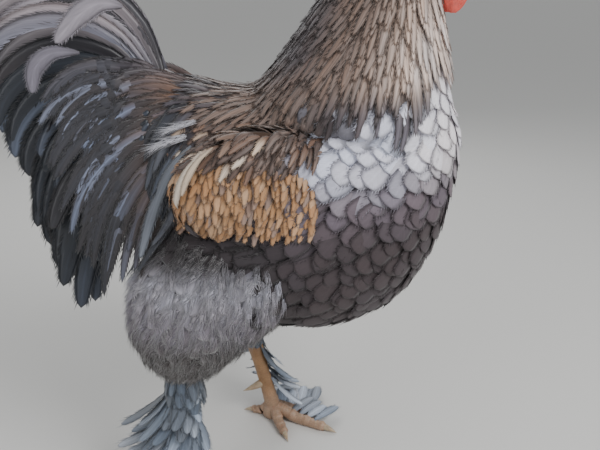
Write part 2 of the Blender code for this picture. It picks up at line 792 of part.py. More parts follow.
def foot_vanes(leg, draw):
    side = LEGS[leg]["side"]
    vanes = []
    for toe, count, first, last in (("outer", 4, 0.15, 0.95), ("middle", 1, 0.60, 0.80)):
        path, radii = toe_path(leg, toe)
        base = Vector((path[0].x, path[0].y, 0))
        for i in range(count):
            t = first + (last - first) * i / max(count - 1, 1)
            heading = toe_heading(leg, toe)
            outwards = Vector((-heading.y * side, heading.x * side, 0))
            if outwards.y * side < 0:
                outwards = -outwards
            root = base + heading * TOES[toe][1] * t
            root.z = 0.0075 + (0.0035 if toe == "middle" else 0.0)
            aim = (outwards + heading * (0.1 + 0.5 * t)).normalized()
            aim = (aim + Vector((0, 0, 0.22 if toe == "middle" else 0.10))).normalized()
            rest = (outwards * 0.9 + heading * 0.2 + Vector((0, 0, -0.22))).normalized()
            length = LEGS[leg]["toe_feather"] * (1 - 0.2 * t) * draw.uniform(0.9, 1.1)
            line = free_path(root, aim, rest, length, SHANK_STATIONS)
            halves = [0.0098 * blade(k, 0.55, 1.9, root=0.3) for k in SHANK_STATIONS]
            vanes.append(vane(line, [Vector((0, 0, 1))] * len(line), halves, TAIL_VANE,
                              clear=above_floor))
    return vanes


def claw(name, start, heading, length, radius, drop):
    """A curved, pointed claw or spur."""
    shares = (0.0, 0.35, 0.7, 1.0)
    path = [start + heading * length * t + Vector((0, 0, -drop * t * t)) for t in shares]
    radii = [radius * k for k in (1.0, 0.78, 0.45, 0.10)]
    return solid(name, *loft(tube_rows(path, radii, sides=5, floor=0.0004)))


# Head: skull, brow, lids and ear, with the beak, comb, wattles and lobes as pieces of their own

# Rings of the skull from nape to beak: x, crown, throat, half width
SKULL = (
    (0.090, 0.641, 0.625, 0.008),
    (0.096, 0.650, 0.612, 0.0165),
    (0.108, 0.6565, 0.603, 0.0212),
    (0.124, 0.6585, 0.599, 0.0225),
    (0.140, 0.6550, 0.600, 0.0205),
    (0.152, 0.6480, 0.602, 0.0165),
    (0.162, 0.6390, 0.604, 0.0125),
    (0.168, 0.6310, 0.607, 0.0088),
)


# Around each eye: place from the eye's middle (y is outwards), radii, sides, turn in degrees
HEAD_LUMPS = {
    "brow": ((0.001, 0.0, 0.0072), (0.0125, 0.0052, 0.0042), 8, 12),
    "cheek": ((-0.002, -0.004, -0.0120), (0.0160, 0.0075, 0.0110), 8, 0),
    "lids": ((0.0, -0.0012, 0.0), (0.0090, 0.0060, 0.0078), 10, 0),
}
NOSTRIL = (0.1755, 0.0078, 0.6205)
NOSTRIL_RADII = (0.0030, 0.0022, 0.0011)


def head_core():
    form = Form([(x, top, x, low, width) for x, top, low, width in SKULL], along=0, fullness=2.2)
    head = solid("head", *loft(form.rows(9, 14)))
    extras = []
    for side in (1, -1):
        eye = Vector((EYE.x, side * EYE.y, EYE.z))
        for name, ((x, y, z), radii, sides, turn) in HEAD_LUMPS.items():
            extras.append(ball(name, eye + Vector((x, side * y, z)), radii, sides, sides // 2 + 1,
                               math.radians(turn)))
    return join(head, extras)


# Rings of the upper beak: x, ridge, lower edge, half width, and of the lower beak: x, upper edge,
# lower edge, half width
BEAK_UPPER = (
    (0.158, 0.6330, 0.6130, 0.0102),
    (0.167, 0.6305, 0.6128, 0.0094),
    (0.176, 0.6265, 0.6120, 0.0080),
    (0.185, 0.6205, 0.6098, 0.0058),
    (0.191, 0.6135, 0.6055, 0.0034),
    (0.1935, 0.6065, 0.6030, 0.0012),
)
BEAK_LOWER = (
    (0.158, 0.6122, 0.6035, 0.0086),
    (0.167, 0.6119, 0.6035, 0.0078),
    (0.176, 0.6110, 0.6042, 0.0062),
    (0.184, 0.6088, 0.6046, 0.0040),
    (0.1880, 0.6066, 0.6044, 0.0018),
)


def beak(name, rings):
    form = Form([(x, top, x, low, width) for x, top, low, width in rings], along=0, fullness=2.0)
    return solid(name, *loft(form.rows(7, 10)))


def crown_height(x):
    """Height of the head's top line at x, over the skull and the root of the beak."""
    xs = [r[0] for r in SKULL] + [BEAK_UPPER[2][0]]
    zs = [r[1] for r in SKULL] + [BEAK_UPPER[2][1]]
    return float(np.interp(x, xs, zs))


# The comb's section, as shares of its half width and height: a tall middle ridge between two low ones
COMB_SECTION = ((-1, 0.0), (-1, 0.50), (-0.62, 0.66), (-0.32, 0.45), (0.0, 1.0), (0.32, 0.45), (0.62, 0.66),
                (1, 0.50), (1, 0.0))
COMB_X = (0.1350, 0.1680)
COMB_WIDTH = 0.0085
COMB_HEIGHT = 0.0125
COMB_POINTS = 5


def comb_piece():
    """A pea comb: three ridges side by side, each a row of blunt points."""
    rows = []
    steps = 2 * COMB_POINTS + 1
    for i in range(steps):
        x = COMB_X[0] + (COMB_X[1] - COMB_X[0]) * i / (steps - 1)
        swell = math.sin(math.pi * (i + 0.6) / (steps + 0.2))
        tall = COMB_HEIGHT * swell ** 0.5 * (1.0 if i % 2 else 0.80)
        wide = COMB_WIDTH * swell ** 0.4 * (1.0 if i % 2 else 0.90)
        rows.append([Vector((x, y * wide, crown_height(x) - 0.002 + h * tall)) for y, h in COMB_SECTION])
    return solid("comb", *loft(rows))


def wattle(name, side):
    rows = (
        # centre x, y and z, half length along X, half thickness
        (0.1600, 0.0075, 0.6050, 0.0070, 0.0030),
        (0.1600, 0.0088, 0.5960, 0.0105, 0.0036),
        (0.1590, 0.0100, 0.5850, 0.0135, 0.0030),
        (0.1575, 0.0112, 0.5730, 0.0145, 0.0027),
        (0.1560, 0.0118, 0.5610, 0.0125, 0.0026),
        (0.1548, 0.0118, 0.5510, 0.0080, 0.0024),
        (0.1540, 0.0116, 0.5460, 0.0030, 0.0014),
    )
    form = Form([(x + half, z, x - half, z, thick, side * y) for x, y, z, half, thick in rows],
                along=2, fullness=2.0)
    return solid(name, *loft(form.rows(8, 8)))


def earlobe(name, side):
    rows = (
        (0.1240, 0.0190, 0.6160, 0.0040, 0.0026),
        (0.1235, 0.0212, 0.6080, 0.0066, 0.0036),
        (0.1225, 0.0232, 0.5980, 0.0074, 0.0034),
        (0.1215, 0.0245, 0.5880, 0.0062, 0.0030),
        (0.1210, 0.0250, 0.5815, 0.0026, 0.0018),
    )
    form = Form([(x + half, z, x - half, z, thick, side * y) for x, y, z, half, thick in rows],
                along=2, fullness=2.0)
    return solid(name, *loft(form.rows(6, 7)))


# Putting the bird together

def clear_scene():
    for obj in list(bpy.data.objects):
        bpy.data.objects.remove(obj)
    for group in list(bpy.data.collections):
        bpy.data.collections.remove(group)


def build_body():
    """Torso, neck, wings, tail and thighs, each cut clear of the bare form of what it grows from."""
    torso = solid("torso", *loft(torso_form.rows(14, 16)))
    bare_torso = new_object("bare_torso", torso.data.copy())

    neck = solid("neck", *loft(neck_form.rows(10, 14)))
    make_room(neck, bare_torso)
    bare_neck = new_object("bare_neck", neck.data.copy())
    join(neck, hackle_vanes(random.Random(11)))

    tail = ball("tail", RUMP + Vector((-0.004, 0, 0)), TAIL_ROOT, 14, 9)
    make_room(tail, bare_torso)
    join(tail, tail_vanes(random.Random(23)))
    join(torso, saddle_vanes(random.Random(5)))

    wings = []
    for name, side in (("wing_right", -1), ("wing_left", 1)):
        wing = wing_plate(name, side, bare_torso)
        wings.append(join(wing, wing_vanes(side, random.Random(31 + side))))

    thighs = {}
    for (leg, form), wing in zip(thigh_forms.items(), wings):
        thigh = solid("thigh_" + leg, *loft(form.rows(11, 14)))
        make_room(thigh, bare_torso)
        join(thigh, fluff_vanes(leg, random.Random(41 + LEGS[leg]["side"])))
        make_room(thigh, wing)
        make_room(tail, thigh)
        thighs[leg] = thigh
    for wing in wings:
        make_room(wing, neck)
        make_room(tail, wing)
    make_room(torso, *wings, *thighs.values(), tail, neck, by=GAP / 2)
    bpy.data.objects.remove(bare_torso)
    return neck, bare_neck, thighs


def build_legs(thighs):
    for leg, facts in LEGS.items():
        side = facts["side"]
        shank = shank_core(leg)
        foot = foot_core(leg)
        make_room(shank, foot)
        bare_foot = new_object("bare_foot_" + leg, foot.data.copy())

        spur_at = shank_line(leg)[0].lerp(shank_line(leg)[1], SPUR_SHARE)
        spur_way = Vector((-0.86, -side * 0.42, -0.28)).normalized()
        spur = claw("spur_" + leg, spur_at + spur_way * SPUR_RADIUS, spur_way, SPUR_LENGTH,
                    SPUR_RADIUS, -0.002)
        make_room(spur, shank)
        join(shank, shank_vanes(leg, random.Random(53 + side)))
        make_room(shank, thighs[leg])
        join(foot, foot_vanes(leg, random.Random(61 + side)))
        make_room(foot, shank, by=GAP / 2)

        for toe in TOES:
            path, radii = toe_path(leg, toe)
            nail = claw("claw_" + toe + "_" + leg, path[-1] - toe_heading(leg, toe) * SINK,
                        toe_heading(leg, toe), CLAW_LENGTH[toe] + SINK, radii[-1] * 0.80, CLAW_DROP)
            make_room(nail, bare_foot)
        bpy.data.objects.remove(bare_foot)


def build_head(neck, bare_neck):
    head = head_core()
    eyes = []
    for name, side in (("eye_right", -1), ("eye_left", 1)):
        eye = ball(name, Vector((EYE.x, side * EYE.y, EYE.z)), (EYE_RADIUS,) * 3, 10, 6)
        make_room(head, eye)
        eyes.append(eye)
    upper = beak("beak_upper", BEAK_UPPER)
    lower = beak("beak_lower", BEAK_LOWER)
    for side in (1, -1):
        x, y, z = NOSTRIL
        cut(upper, ball("nostril", Vector((x, side * y, z)), NOSTRIL_RADII, 8, 4, math.radians(24)))
    make_room(upper, head)
    make_room(lower, head)
    make_room(lower, upper)
    make_room(head, bare_neck)
    comb = comb_piece()
    make_room(comb, head)
    for name, side in (("wattle_right", -1), ("wattle_left", 1)):
        make_room(wattle(name, side), head, lower, upper)
    for name, side in (("earlobe_right", -1), ("earlobe_left", 1)):
        make_room(earlobe(name, side), head, neck)
    bpy.data.objects.remove(bare_neck)


NODE_FINISHES = (
    ("torso", "breast_feather"), ("neck", "hackle_feather"), ("wing", "wing_feather"),
    ("tail", "tail_feather"), ("thigh", "fluff"), ("shank", "leg_feather"), ("foot", "leg_scale"),
    ("claw", "horn"), ("spur", "horn"), ("beak", "horn"), ("head", "red_skin"), ("comb", "red_skin"),
    ("wattle", "red_skin"), ("earlobe", "red_skin"), ("eye", "eye"),
)


def dress_and_place():
    """Gives each node its material and its collection, and puts the origin under the middle of the bird."""
    bird = bpy.data.collections.new("brahma_cock")
    bpy.context.scene.collection.children.link(bird)
    for obj in list(bpy.context.scene.collection.objects):
        bpy.context.scene.collection.objects.unlink(obj)
        bird.objects.link(obj)
        obj.data.transform(Matrix.Translation((-MIDDLE_X, 0, 0)))
        finish = next(f for start, f in NODE_FINISHES if obj.name.startswith(start))
        obj.data.materials.clear()
        obj.data.materials.append(finish_of(finish))
        obj.data.shade_smooth()
        obj.data.set_sharp_from_angle(angle=math.radians(40))


clear_scene()
neck_node, neck_bare, thigh_nodes = build_body()
build_legs(thigh_nodes)
build_head(neck_node, neck_bare)
dress_and_place()
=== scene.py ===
import math
import random

import bmesh
import bpy
import numpy as np
from mathutils import Matrix, Vector
from mathutils.bvhtree import BVHTree


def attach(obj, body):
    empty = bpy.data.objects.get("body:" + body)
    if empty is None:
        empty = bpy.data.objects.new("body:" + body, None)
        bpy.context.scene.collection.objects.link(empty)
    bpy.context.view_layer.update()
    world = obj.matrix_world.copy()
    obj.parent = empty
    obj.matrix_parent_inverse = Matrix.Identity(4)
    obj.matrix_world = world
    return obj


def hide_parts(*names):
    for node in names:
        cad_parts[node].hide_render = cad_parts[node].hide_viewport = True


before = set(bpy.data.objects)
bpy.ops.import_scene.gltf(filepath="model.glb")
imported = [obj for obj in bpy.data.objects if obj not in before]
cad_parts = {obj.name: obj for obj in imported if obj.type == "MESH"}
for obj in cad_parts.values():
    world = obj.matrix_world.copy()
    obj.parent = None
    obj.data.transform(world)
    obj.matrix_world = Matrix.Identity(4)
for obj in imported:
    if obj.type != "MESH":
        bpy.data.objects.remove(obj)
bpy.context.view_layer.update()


# The body under the coat. One skin runs over neck, trunk, rump, folded wings and thighs, so that
# no seam shows between the feathers. It lies inside the solids by the depth of the coat.
AHEAD = 0.0655             # the shapes below keep their own zero, this far ahead of the origin
COAT_DEPTH = {"trunk": 0.0065, "neck": 0.0030, "thigh": 0.0100}

# Rings of the trunk: x, top, underside, half width
TRUNK = (
    (-0.176, 0.446, 0.405, 0.020), (-0.160, 0.472, 0.340, 0.055), (-0.125, 0.482, 0.272, 0.086),
    (-0.080, 0.474, 0.226, 0.103), (-0.030, 0.474, 0.202, 0.111), (0.025, 0.482, 0.197, 0.111),
    (0.075, 0.488, 0.212, 0.105), (0.115, 0.486, 0.243, 0.093), (0.145, 0.474, 0.296, 0.072),
    (0.162, 0.452, 0.360, 0.045), (0.169, 0.436, 0.412, 0.018),
)
# Rings of the neck from the head down: front x and z, nape x and z, half width
NECK = (
    (0.129, 0.606, 0.082, 0.642, 0.021), (0.134, 0.588, 0.062, 0.618, 0.031),
    (0.141, 0.562, 0.038, 0.586, 0.042), (0.147, 0.536, 0.016, 0.553, 0.052),
    (0.152, 0.508, -0.002, 0.526, 0.064), (0.156, 0.480, -0.020, 0.500, 0.078),
    (0.160, 0.450, -0.036, 0.479, 0.090), (0.163, 0.415, -0.056, 0.458, 0.098),
)
# Rings of each thigh: front x and z, back x and z, half width, distance from the middle plane
THIGH = {
    -1: (
        (0.015, 0.350, -0.140, 0.352, 0.030, 0.058), (0.020, 0.318, -0.160, 0.318, 0.050, 0.066),
        (0.010, 0.280, -0.184, 0.276, 0.058, 0.070), (-0.020, 0.238, -0.190, 0.236, 0.055, 0.072),
        (-0.056, 0.202, -0.182, 0.200, 0.044, 0.073), (-0.088, 0.176, -0.164, 0.174, 0.030, 0.073),
        (-0.110, 0.158, -0.146, 0.157, 0.015, 0.073),
    ),
    1: (
        (0.075, 0.340, -0.095, 0.345, 0.030, 0.058), (0.078, 0.305, -0.115, 0.308, 0.050, 0.066),
        (0.066, 0.262, -0.130, 0.260, 0.058, 0.070), (0.036, 0.218, -0.132, 0.216, 0.055, 0.072),
        (-0.002, 0.178, -0.122, 0.178, 0.043, 0.073), (-0.030, 0.149, -0.104, 0.148, 0.029, 0.073),
        (-0.050, 0.131, -0.086, 0.130, 0.015, 0.073),
    ),
}
RUMP = Vector((-0.146, 0.0, 0.452))
WING_MIDDLE = Vector((-0.052, 0.0945, 0.392))
WING_RADII = (0.072, 0.0200, 0.050)
WING_TURN = (math.radians(-14), math.radians(-7))      # about Y, and about Z on the left side
RUMP_MIDDLE = RUMP + Vector((-0.004, 0, -0.004))
RUMP_RADII = (0.034, 0.040, 0.036)
FULLNESS = {"trunk": 2.25, "neck": 2.25, "thigh": 2.1}     # 2 is an ellipse, more is squarer
SKIN_SOFTENING = 26
SKIN_VOXEL = 0.0036
SKIN_SIDES = 40


def through(values, t):
    """The value at t, from 0 to 1, of a smooth curve through a row of values."""
    last = len(values) - 1
    u = min(max(t, 0.0), 1.0) * last
    i = min(int(u), last - 1)
    f = u - i
    p0, p1 = values[max(i - 1, 0)], values[i]
    p2, p3 = values[i + 1], values[min(i + 2, last)]
    bend = 2 * p0 - 5 * p1 + 4 * p2 - p3
    return 0.5 * (2 * p1 + (p2 - p0) * f + bend * f * f + (3 * p1 - p0 - 3 * p2 + p3) * f ** 3)


def body_rows(rings, count, around, depth=0.0, power=2.25):
    """Rings of points for a soft body. Each runs through two opposite points of its middle plane
    and through half its width to either side, and lies depth inside the given size."""
    rings = np.array([(*ring, 0.0) if len(ring) == 5 else ring for ring in rings], float)
    rows = []
    for i in range(count):
        ax, az, bx, bz, width, y = through(rings, i / (count - 1))
        centre = Vector(((ax + bx) / 2, y, (az + bz) / 2))
        axis = Vector(((ax - bx) / 2, 0, (az - bz) / 2))
        row = []
        for j in range(around):
            turn = 2 * math.pi * j / around
            c, s = math.cos(turn), math.sin(turn)
            away = axis * math.copysign(abs(c) ** (2 / power), c)
            away.y += math.copysign(abs(s) ** (2 / power), s) * width
            row.append(centre + away * max(1 - depth / away.length, 0.25))
        rows.append(row)
    return rows


def grow(bm, rows):
    """A closed body grown from one capped circle, pushed out ring by ring to rows of points."""
    loop = bmesh.ops.create_circle(bm, cap_ends=True, segments=len(rows[0]), radius=0.01)["verts"]
    for number, row in enumerate(rows):
        if number:
            ring = set(loop)
            edges = {e for v in loop for e in v.link_edges if e.other_vert(v) in ring}
            made = bmesh.ops.extrude_edge_only(bm, edges=list(edges))["geom"]
            fresh = {g for g in made if isinstance(g, bmesh.types.BMVert)}
            loop = [next(e.other_vert(v) for e in v.link_edges if e.other_vert(v) in fresh) for v in loop]
        for v, point in zip(loop, row):
            v.co = point
    bm.faces.new(loop)


def lump(bm, centre, radii, segments=24, rings=14, turn=(0.0, 0.0)):
    """A round lump, turned about Y and then about Z."""
    made = bmesh.ops.create_uvsphere(bm, u_segments=segments, v_segments=rings, radius=1)["verts"]
    place = Matrix.Translation(centre) @ Matrix.Rotation(turn[1], 4, "Z")
    place = place @ Matrix.Rotation(turn[0], 4, "Y") @ Matrix.Diagonal((*radii, 1))
    bmesh.ops.transform(bm, matrix=place, verts=made)


def piece_from(name, bm, settled=True):
    """An object from a bmesh. settled puts it in its place in the model's own frame."""
    bmesh.ops.recalc_face_normals(bm, faces=bm.faces)
    if settled:
        bmesh.ops.translate(bm, vec=(AHEAD, 0, 0), verts=bm.verts)
    mesh = bpy.data.meshes.new(name)
    bm.to_mesh(mesh)
    bm.free()
    mesh.shade_smooth()
    obj = bpy.data.objects.new(name, mesh)
    bpy.context.scene.collection.objects.link(obj)
    return obj


def dress(obj, material, slot, *nodes):
    """Gives a piece its material, hangs it under the root and hides the solids that it takes the place
    of. slot is not used.
    """
    obj.data.materials.append(material)
    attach(obj, "root")
    if nodes:
        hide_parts(*nodes)


def bake_modifiers(obj):
    bpy.context.view_layer.update()
    graph = bpy.context.evaluated_depsgraph_get()
    mesh = bpy.data.meshes.new_from_object(obj.evaluated_get(graph))
    obj.modifiers.clear()
    obj.data = mesh
    mesh.shade_smooth()


def fuse(obj, voxel, passes):
    """Melts the closed bodies of a mesh into one skin and softens where they meet."""
    remesh = obj.modifiers.new("fuse", "REMESH")
    remesh.mode, remesh.voxel_size = "VOXEL", voxel
    soften = obj.modifiers.new("soften", "SMOOTH")
    soften.factor, soften.iterations = 0.5, passes
    bake_modifiers(obj)


def upright(rings):
    """Rings given as x, top, underside and half width, as body_rows takes them."""
    return [(x, top, x, low, width) for x, top, low, width in rings]


def thigh_rings(side):
    return [(*ring[:5], side * ring[5]) for ring in THIGH[side]]


def wing_lump(bm, side):
    """The folded wing, a flat lump against the side of the trunk."""
    lump(bm, Vector((WING_MIDDLE.x, side * WING_MIDDLE.y, WING_MIDDLE.z)), WING_RADII,
         turn=(WING_TURN[0], side * WING_TURN[1]))


def rump_lump(bm):
    lump(bm, RUMP_MIDDLE, RUMP_RADII)


body = bmesh.new()
grow(body, body_rows(upright(TRUNK), 28, SKIN_SIDES, COAT_DEPTH["trunk"]))
grow(body, body_rows(NECK, 20, SKIN_SIDES, COAT_DEPTH["neck"]))
for side in (-1, 1):
    grow(body, body_rows(thigh_rings(side), 20, SKIN_SIDES, COAT_DEPTH["thigh"], FULLNESS["thigh"]))
    wing_lump(body, side)
rump_lump(body)
skin = piece_from("body_skin", body, settled=False)
fuse(skin, SKIN_VOXEL, SKIN_SOFTENING)


def unwrap(obj):
    """Lays the skin's faces out flat as the map OFBake, which the feathers' patches share."""
    obj.data.uv_layers.new(name="OFBake")
    bpy.context.view_layer.objects.active = obj
    obj.select_set(True)
    bpy.ops.object.mode_set(mode="EDIT")
    bpy.ops.mesh.select_all(action="SELECT")
    bpy.ops.uv.smart_project(angle_limit=math.radians(66), island_margin=0.003)
    bpy.ops.object.mode_set(mode="OBJECT")
    obj.select_set(False)


unwrap(skin)


class Surface:
    """The skin as arrays: nearest places, smooth normals and the flat place of each face."""

    def __init__(self, obj):
        mesh = obj.data
        mesh.calc_loop_triangles()
        count = len(mesh.vertices)
        self.points = np.empty(count * 3)
        mesh.vertices.foreach_get("co", self.points)
        self.points = self.points.reshape(-1, 3)
        normals = np.empty(count * 3)
        mesh.vertices.foreach_get("normal", normals)
        normals = normals.reshape(-1, 3)
        triangles = np.empty(len(mesh.loop_triangles) * 3, int)
        mesh.loop_triangles.foreach_get("vertices", triangles)
        self.triangles = triangles.reshape(-1, 3)
        loops = np.empty(len(mesh.loop_triangles) * 3, int)
        mesh.loop_triangles.foreach_get("loops", loops)
        flat = np.empty(len(mesh.loops) * 2)
        mesh.uv_layers["OFBake"].data.foreach_get("uv", flat)
        self.flat = flat.reshape(-1, 2)[loops.reshape(-1, 3)].mean(axis=1)
        self.normals = normals[self.triangles].mean(axis=1)
        self.normals /= np.linalg.norm(self.normals, axis=1)[:, None]
        self.corners = self.points[self.triangles]
        a, b, c = self.corners[:, 0], self.corners[:, 1], self.corners[:, 2]
        self.areas = np.linalg.norm(np.cross(b - a, c - a), axis=1) / 2
        self.centres = self.corners.mean(axis=1)
        self.tree = BVHTree.FromPolygons(self.points.tolist(), self.triangles.tolist(), epsilon=0.0)

    def nearest(self, points):
        found = [self.tree.find_nearest(p) for p in points.tolist()]
        index = np.array([f[2] for f in found])
        return np.array([f[0] for f in found]), self.normals[index], index


skin_surface = Surface(skin)


def owner_of_faces(surface):
    """Which part of the body each face of the skin belongs to, by the nearest bare form."""
    forms = []

    def form(name, shape, *of):
        bm = bmesh.new()
        shape(bm, *of)
        forms.append((name, BVHTree.FromBMesh(bm)))
        bm.free()

    for name, rings in (("trunk", upright(TRUNK)), ("neck", NECK), ("thigh", thigh_rings(-1)),
                        ("thigh", thigh_rings(1))):
        form(name, grow, body_rows(rings, 20, 24, COAT_DEPTH[name], FULLNESS[name]))
    for side in (-1, 1):
        form("wing", wing_lump, side)
    form("rump", rump_lump)
    owners = []
    for centre in surface.centres.tolist():
        distances = [tree.find_nearest(centre)[3] for _, tree in forms]
        owners.append(forms[int(np.argmin(distances))][0])
    return np.array(owners)


owners = owner_of_faces(skin_surface)


# The markings. A blue brahma's colours run over the whole bird in soft zones: bronze brown on
# hackle and saddle, lavender breast, dark flanks, a buff wing patch, slate tail and smoky fluff.
# Skin and feathers take them from the same places.
# Among the zones is painted light: painted highlights on the front of breast and neck, and painted shade in
# the brown under the breast and in the dark under the wings.
def linear(code):
    """A colour written as sRGB hex, as linear values."""
    values = np.array([int(code[i:i + 2], 16) / 255 for i in (1, 3, 5)])
    return np.where(values <= 0.04045, values / 12.92, ((values + 0.055) / 1.055) ** 2.4)


def ramp(x, low, high):
    """0 below low, 1 above high, and smooth between them, for arrays. low may be above high."""
    t = np.clip((x - low) / (high - low), 0.0, 1.0)
    return t * t * (3 - 2 * t)


def mix(a, b, share):
    return a + (b - a) * np.asarray(share)[..., None]


HACKLE_BROWN = linear("#6e5c53")
# The tan is partly, and the pale wholly, painted highlight on the front of the neck, where the light falls.
HACKLE_TAN_AND_HIGHLIGHT = linear("#b39d90")
HACKLE_SLATE = linear("#3e393f")
HACKLE_PAINTED_HIGHLIGHT = linear("#d6c7bf")
SADDLE_BROWN = linear("#54453f")
SADDLE_BRONZE = linear("#745a4b")
SADDLE_MAUVE = linear("#655c64")
BREAST_LAVENDER = linear("#dcdeee")
# painted highlight: near white on the front of the breast, where the light falls
BREAST_PAINTED_HIGHLIGHT = linear("#f2edf2")
# The lower breast's brown and the underside's dark brown are partly their own colour and partly painted
# shade under the body.
BREAST_BROWN_AND_SHADE = linear("#726770")
UNDER_BROWN_AND_SHADE = linear("#453c3f")
# The dark below the wings is partly the flank's own and partly painted shade under the wing.
FLANK_DARK_AND_SHADE = linear("#302a2d")
FLUFF_TOP = linear("#aeacb7")
FLUFF_MIDDLE = linear("#8f8993")
FLUFF_LOW = linear("#56504f")


def trunk_colour(p):
    """Colours of the trunk and rump by place."""
    x, y, z = p[..., 0], np.abs(p[..., 1]), p[..., 2]
    level = z + 0.20 * (0.06 - x) * (x > 0.06)
    # painted highlight: the front of the breast turns near white where the light falls on it
    colour = mix(np.broadcast_to(BREAST_LAVENDER, p.shape), BREAST_PAINTED_HIGHLIGHT,
                 ramp(x, 0.100, 0.150) * ramp(z, 0.350, 0.410))
    # partly painted shade: the lower breast and the underside darken to brown under the body, beyond their
    # own brown
    colour = mix(colour, BREAST_BROWN_AND_SHADE, ramp(level, 0.426, 0.378))
    colour = mix(colour, UNDER_BROWN_AND_SHADE, ramp(level, 0.386, 0.338))
    colour = mix(colour, BREAST_BROWN_AND_SHADE, 0.7 * ramp(x, 0.045, 0.010) * ramp(z, 0.30, 0.34))
    # below the wing: the flank's own dark, deepened by painted shade under the wing
    colour = mix(colour, FLANK_DARK_AND_SHADE, ramp(x, 0.050, -0.005) * ramp(z, 0.375, 0.352))
    back = ramp(x, 0.020, -0.020) * ramp(z, 0.375, 0.420)
    colour = mix(colour, SADDLE_BROWN, back)
    colour = mix(colour, HACKLE_SLATE, 0.85 * ramp(z, 0.446, 0.460) * ramp(x, 0.078, 0.058))
    colour = mix(colour, SADDLE_MAUVE, ramp(x, -0.115, -0.165) * ramp(z, 0.40, 0.45))
    return mix(colour, FLUFF_LOW, ramp(x, -0.105, -0.140) * ramp(z, 0.42, 0.36))


def neck_colour(p):
    """Colours of the hackle by place: tan at the throat, partly painted highlight, and a paler painted
    highlight at its very front; slate at the nape and round its lower edge.
    """
    x, y, z = p[..., 0], np.abs(p[..., 1]), p[..., 2]
    forward = x - 0.45 * (z - 0.50)
    colour = mix(np.broadcast_to(HACKLE_BROWN, p.shape), HACKLE_TAN_AND_HIGHLIGHT,
                 ramp(forward, 0.040, 0.110) * ramp(z, 0.440, 0.510))
    colour = mix(colour, HACKLE_SLATE, 0.85 * ramp(forward, 0.032, -0.012) * ramp(z, 0.46, 0.51))
    # painted highlight at the very front of the neck, where the light falls
    colour = mix(colour, HACKLE_PAINTED_HIGHLIGHT, 0.8 * ramp(forward, 0.092, 0.118) * ramp(z, 0.47, 0.50))
    return mix(colour, HACKLE_SLATE, 0.9 * ramp(z, 0.485, 0.450) * ramp(x, -0.01, 0.03))


def thigh_colour(p):
    x, z = p[..., 0], p[..., 2]
    colour = mix(np.broadcast_to(FLUFF_TOP, p.shape), FLUFF_MIDDLE, ramp(z, 0.285, 0.245))
    colour = mix(colour, FLUFF_LOW, ramp(z, 0.245, 0.205))
    # The top of the thigh, under the wing, takes the flank's dark with painted shade.
    return mix(colour, FLANK_DARK_AND_SHADE, ramp(z, 0.285, 0.315))


def wing_colour(p):
    return np.broadcast_to(linear("#5b4436"), p.shape)


ZONES = {"trunk": trunk_colour, "rump": trunk_colour, "neck": neck_colour, "thigh": thigh_colour,
         "wing": wing_colour}


def paint_vertices(obj, colours):
    layer = obj.data.color_attributes.new(name="coat", type="FLOAT_COLOR", domain="POINT")
    values = np.ones((len(obj.data.vertices), 4))
    values[:, :3] = np.clip(colours, 0.0, 1.0)
    layer.data.foreach_set("color", values.ravel())


def add(tree, kind, inputs=(), **settings):
    """Adds a node, with each named input set to a value or joined to another node's socket."""
    made = tree.nodes.new("ShaderNode" + kind)
    for key, value in settings.items():
        setattr(made, key, value)
    for name, value in dict(inputs).items():
        if isinstance(value, bpy.types.NodeSocket):
            tree.links.new(value, made.inputs[name])
        else:
            made.inputs[name].default_value = value
    return made


def fresh_material(name, roughness, specular=0.5, sheen=0.0, coat=0.0, subsurface=0.0):
    """A material with its shader's constant values on the shader's own sockets."""
    material = bpy.data.materials.new(name)
    material.use_nodes = True
    shader = material.node_tree.nodes["Principled BSDF"]
    shader.inputs["Roughness"].default_value = roughness
    shader.inputs["Specular IOR Level"].default_value = specular
    shader.inputs["Sheen Weight"].default_value = sheen
    shader.inputs["Coat Weight"].default_value = coat
    shader.inputs["Coat Roughness"].default_value = 0.08
    if subsurface:
        shader.inputs["Subsurface Weight"].default_value = subsurface
        shader.inputs["Subsurface Scale"].default_value = 0.004
    return material, material.node_tree, shader


def calc(tree, operation, *values):
    """A sum on sockets or numbers."""
    return add(tree, "Math", dict(enumerate(values)), operation=operation).outputs[0]


def dim(tree, colour, share):
    """A colour's socket made darker or lighter by a value's socket."""
    return add(tree, "VectorMath", {0: colour, "Scale": share}, operation="SCALE").outputs["Vector"]


def blend(tree, share, a, b, **settings):
    """Two colours mixed by share, each a linear colour or a socket."""
    a, b = (c if isinstance(c, bpy.types.NodeSocket) else (*c, 1) for c in (a, b))
    node = add(tree, "Mix", {"Factor": share, "A": a, "B": b}, data_type="RGBA", **settings)
    return node.outputs["Result"]


def finish_look(tree, shader, colour, height, strength, distance):
    """Joins the colour and the fine relief to the shader."""
    tree.links.new(colour, shader.inputs["Base Color"])
    bump = add(tree, "Bump", {"Height": height, "Strength": strength, "Distance": distance})
    tree.links.new(bump.outputs["Normal"], shader.inputs["Normal"])


def down_and_shade_material():
    """Down over bare skin: matt and broken up, and dimmed to between 0.30 and 0.75 of its colour as
    painted shade between the feathers.
    """
    material, tree, shader = fresh_material("down_and_painted_shade_skin", 0.9, specular=0.2, sheen=0.2)
    colour = add(tree, "VertexColor", layer_name="coat")
    place = add(tree, "TexCoord")
    fibres = add(tree, "TexNoise", {"Vector": place.outputs["Object"], "Scale": 420.0, "Detail": 3.0})
    # painted shade: the skin's colour dimmed by the fibres, so that it reads as the shade between the
    # feathers
    shade = add(tree, "MapRange", {"Value": fibres.outputs["Fac"], "To Min": 0.30, "To Max": 0.75})
    finish_look(tree, shader, dim(tree, colour.outputs["Color"], shade.outputs["Result"]),
                fibres.outputs["Fac"], 0.5, 0.001)
    return material


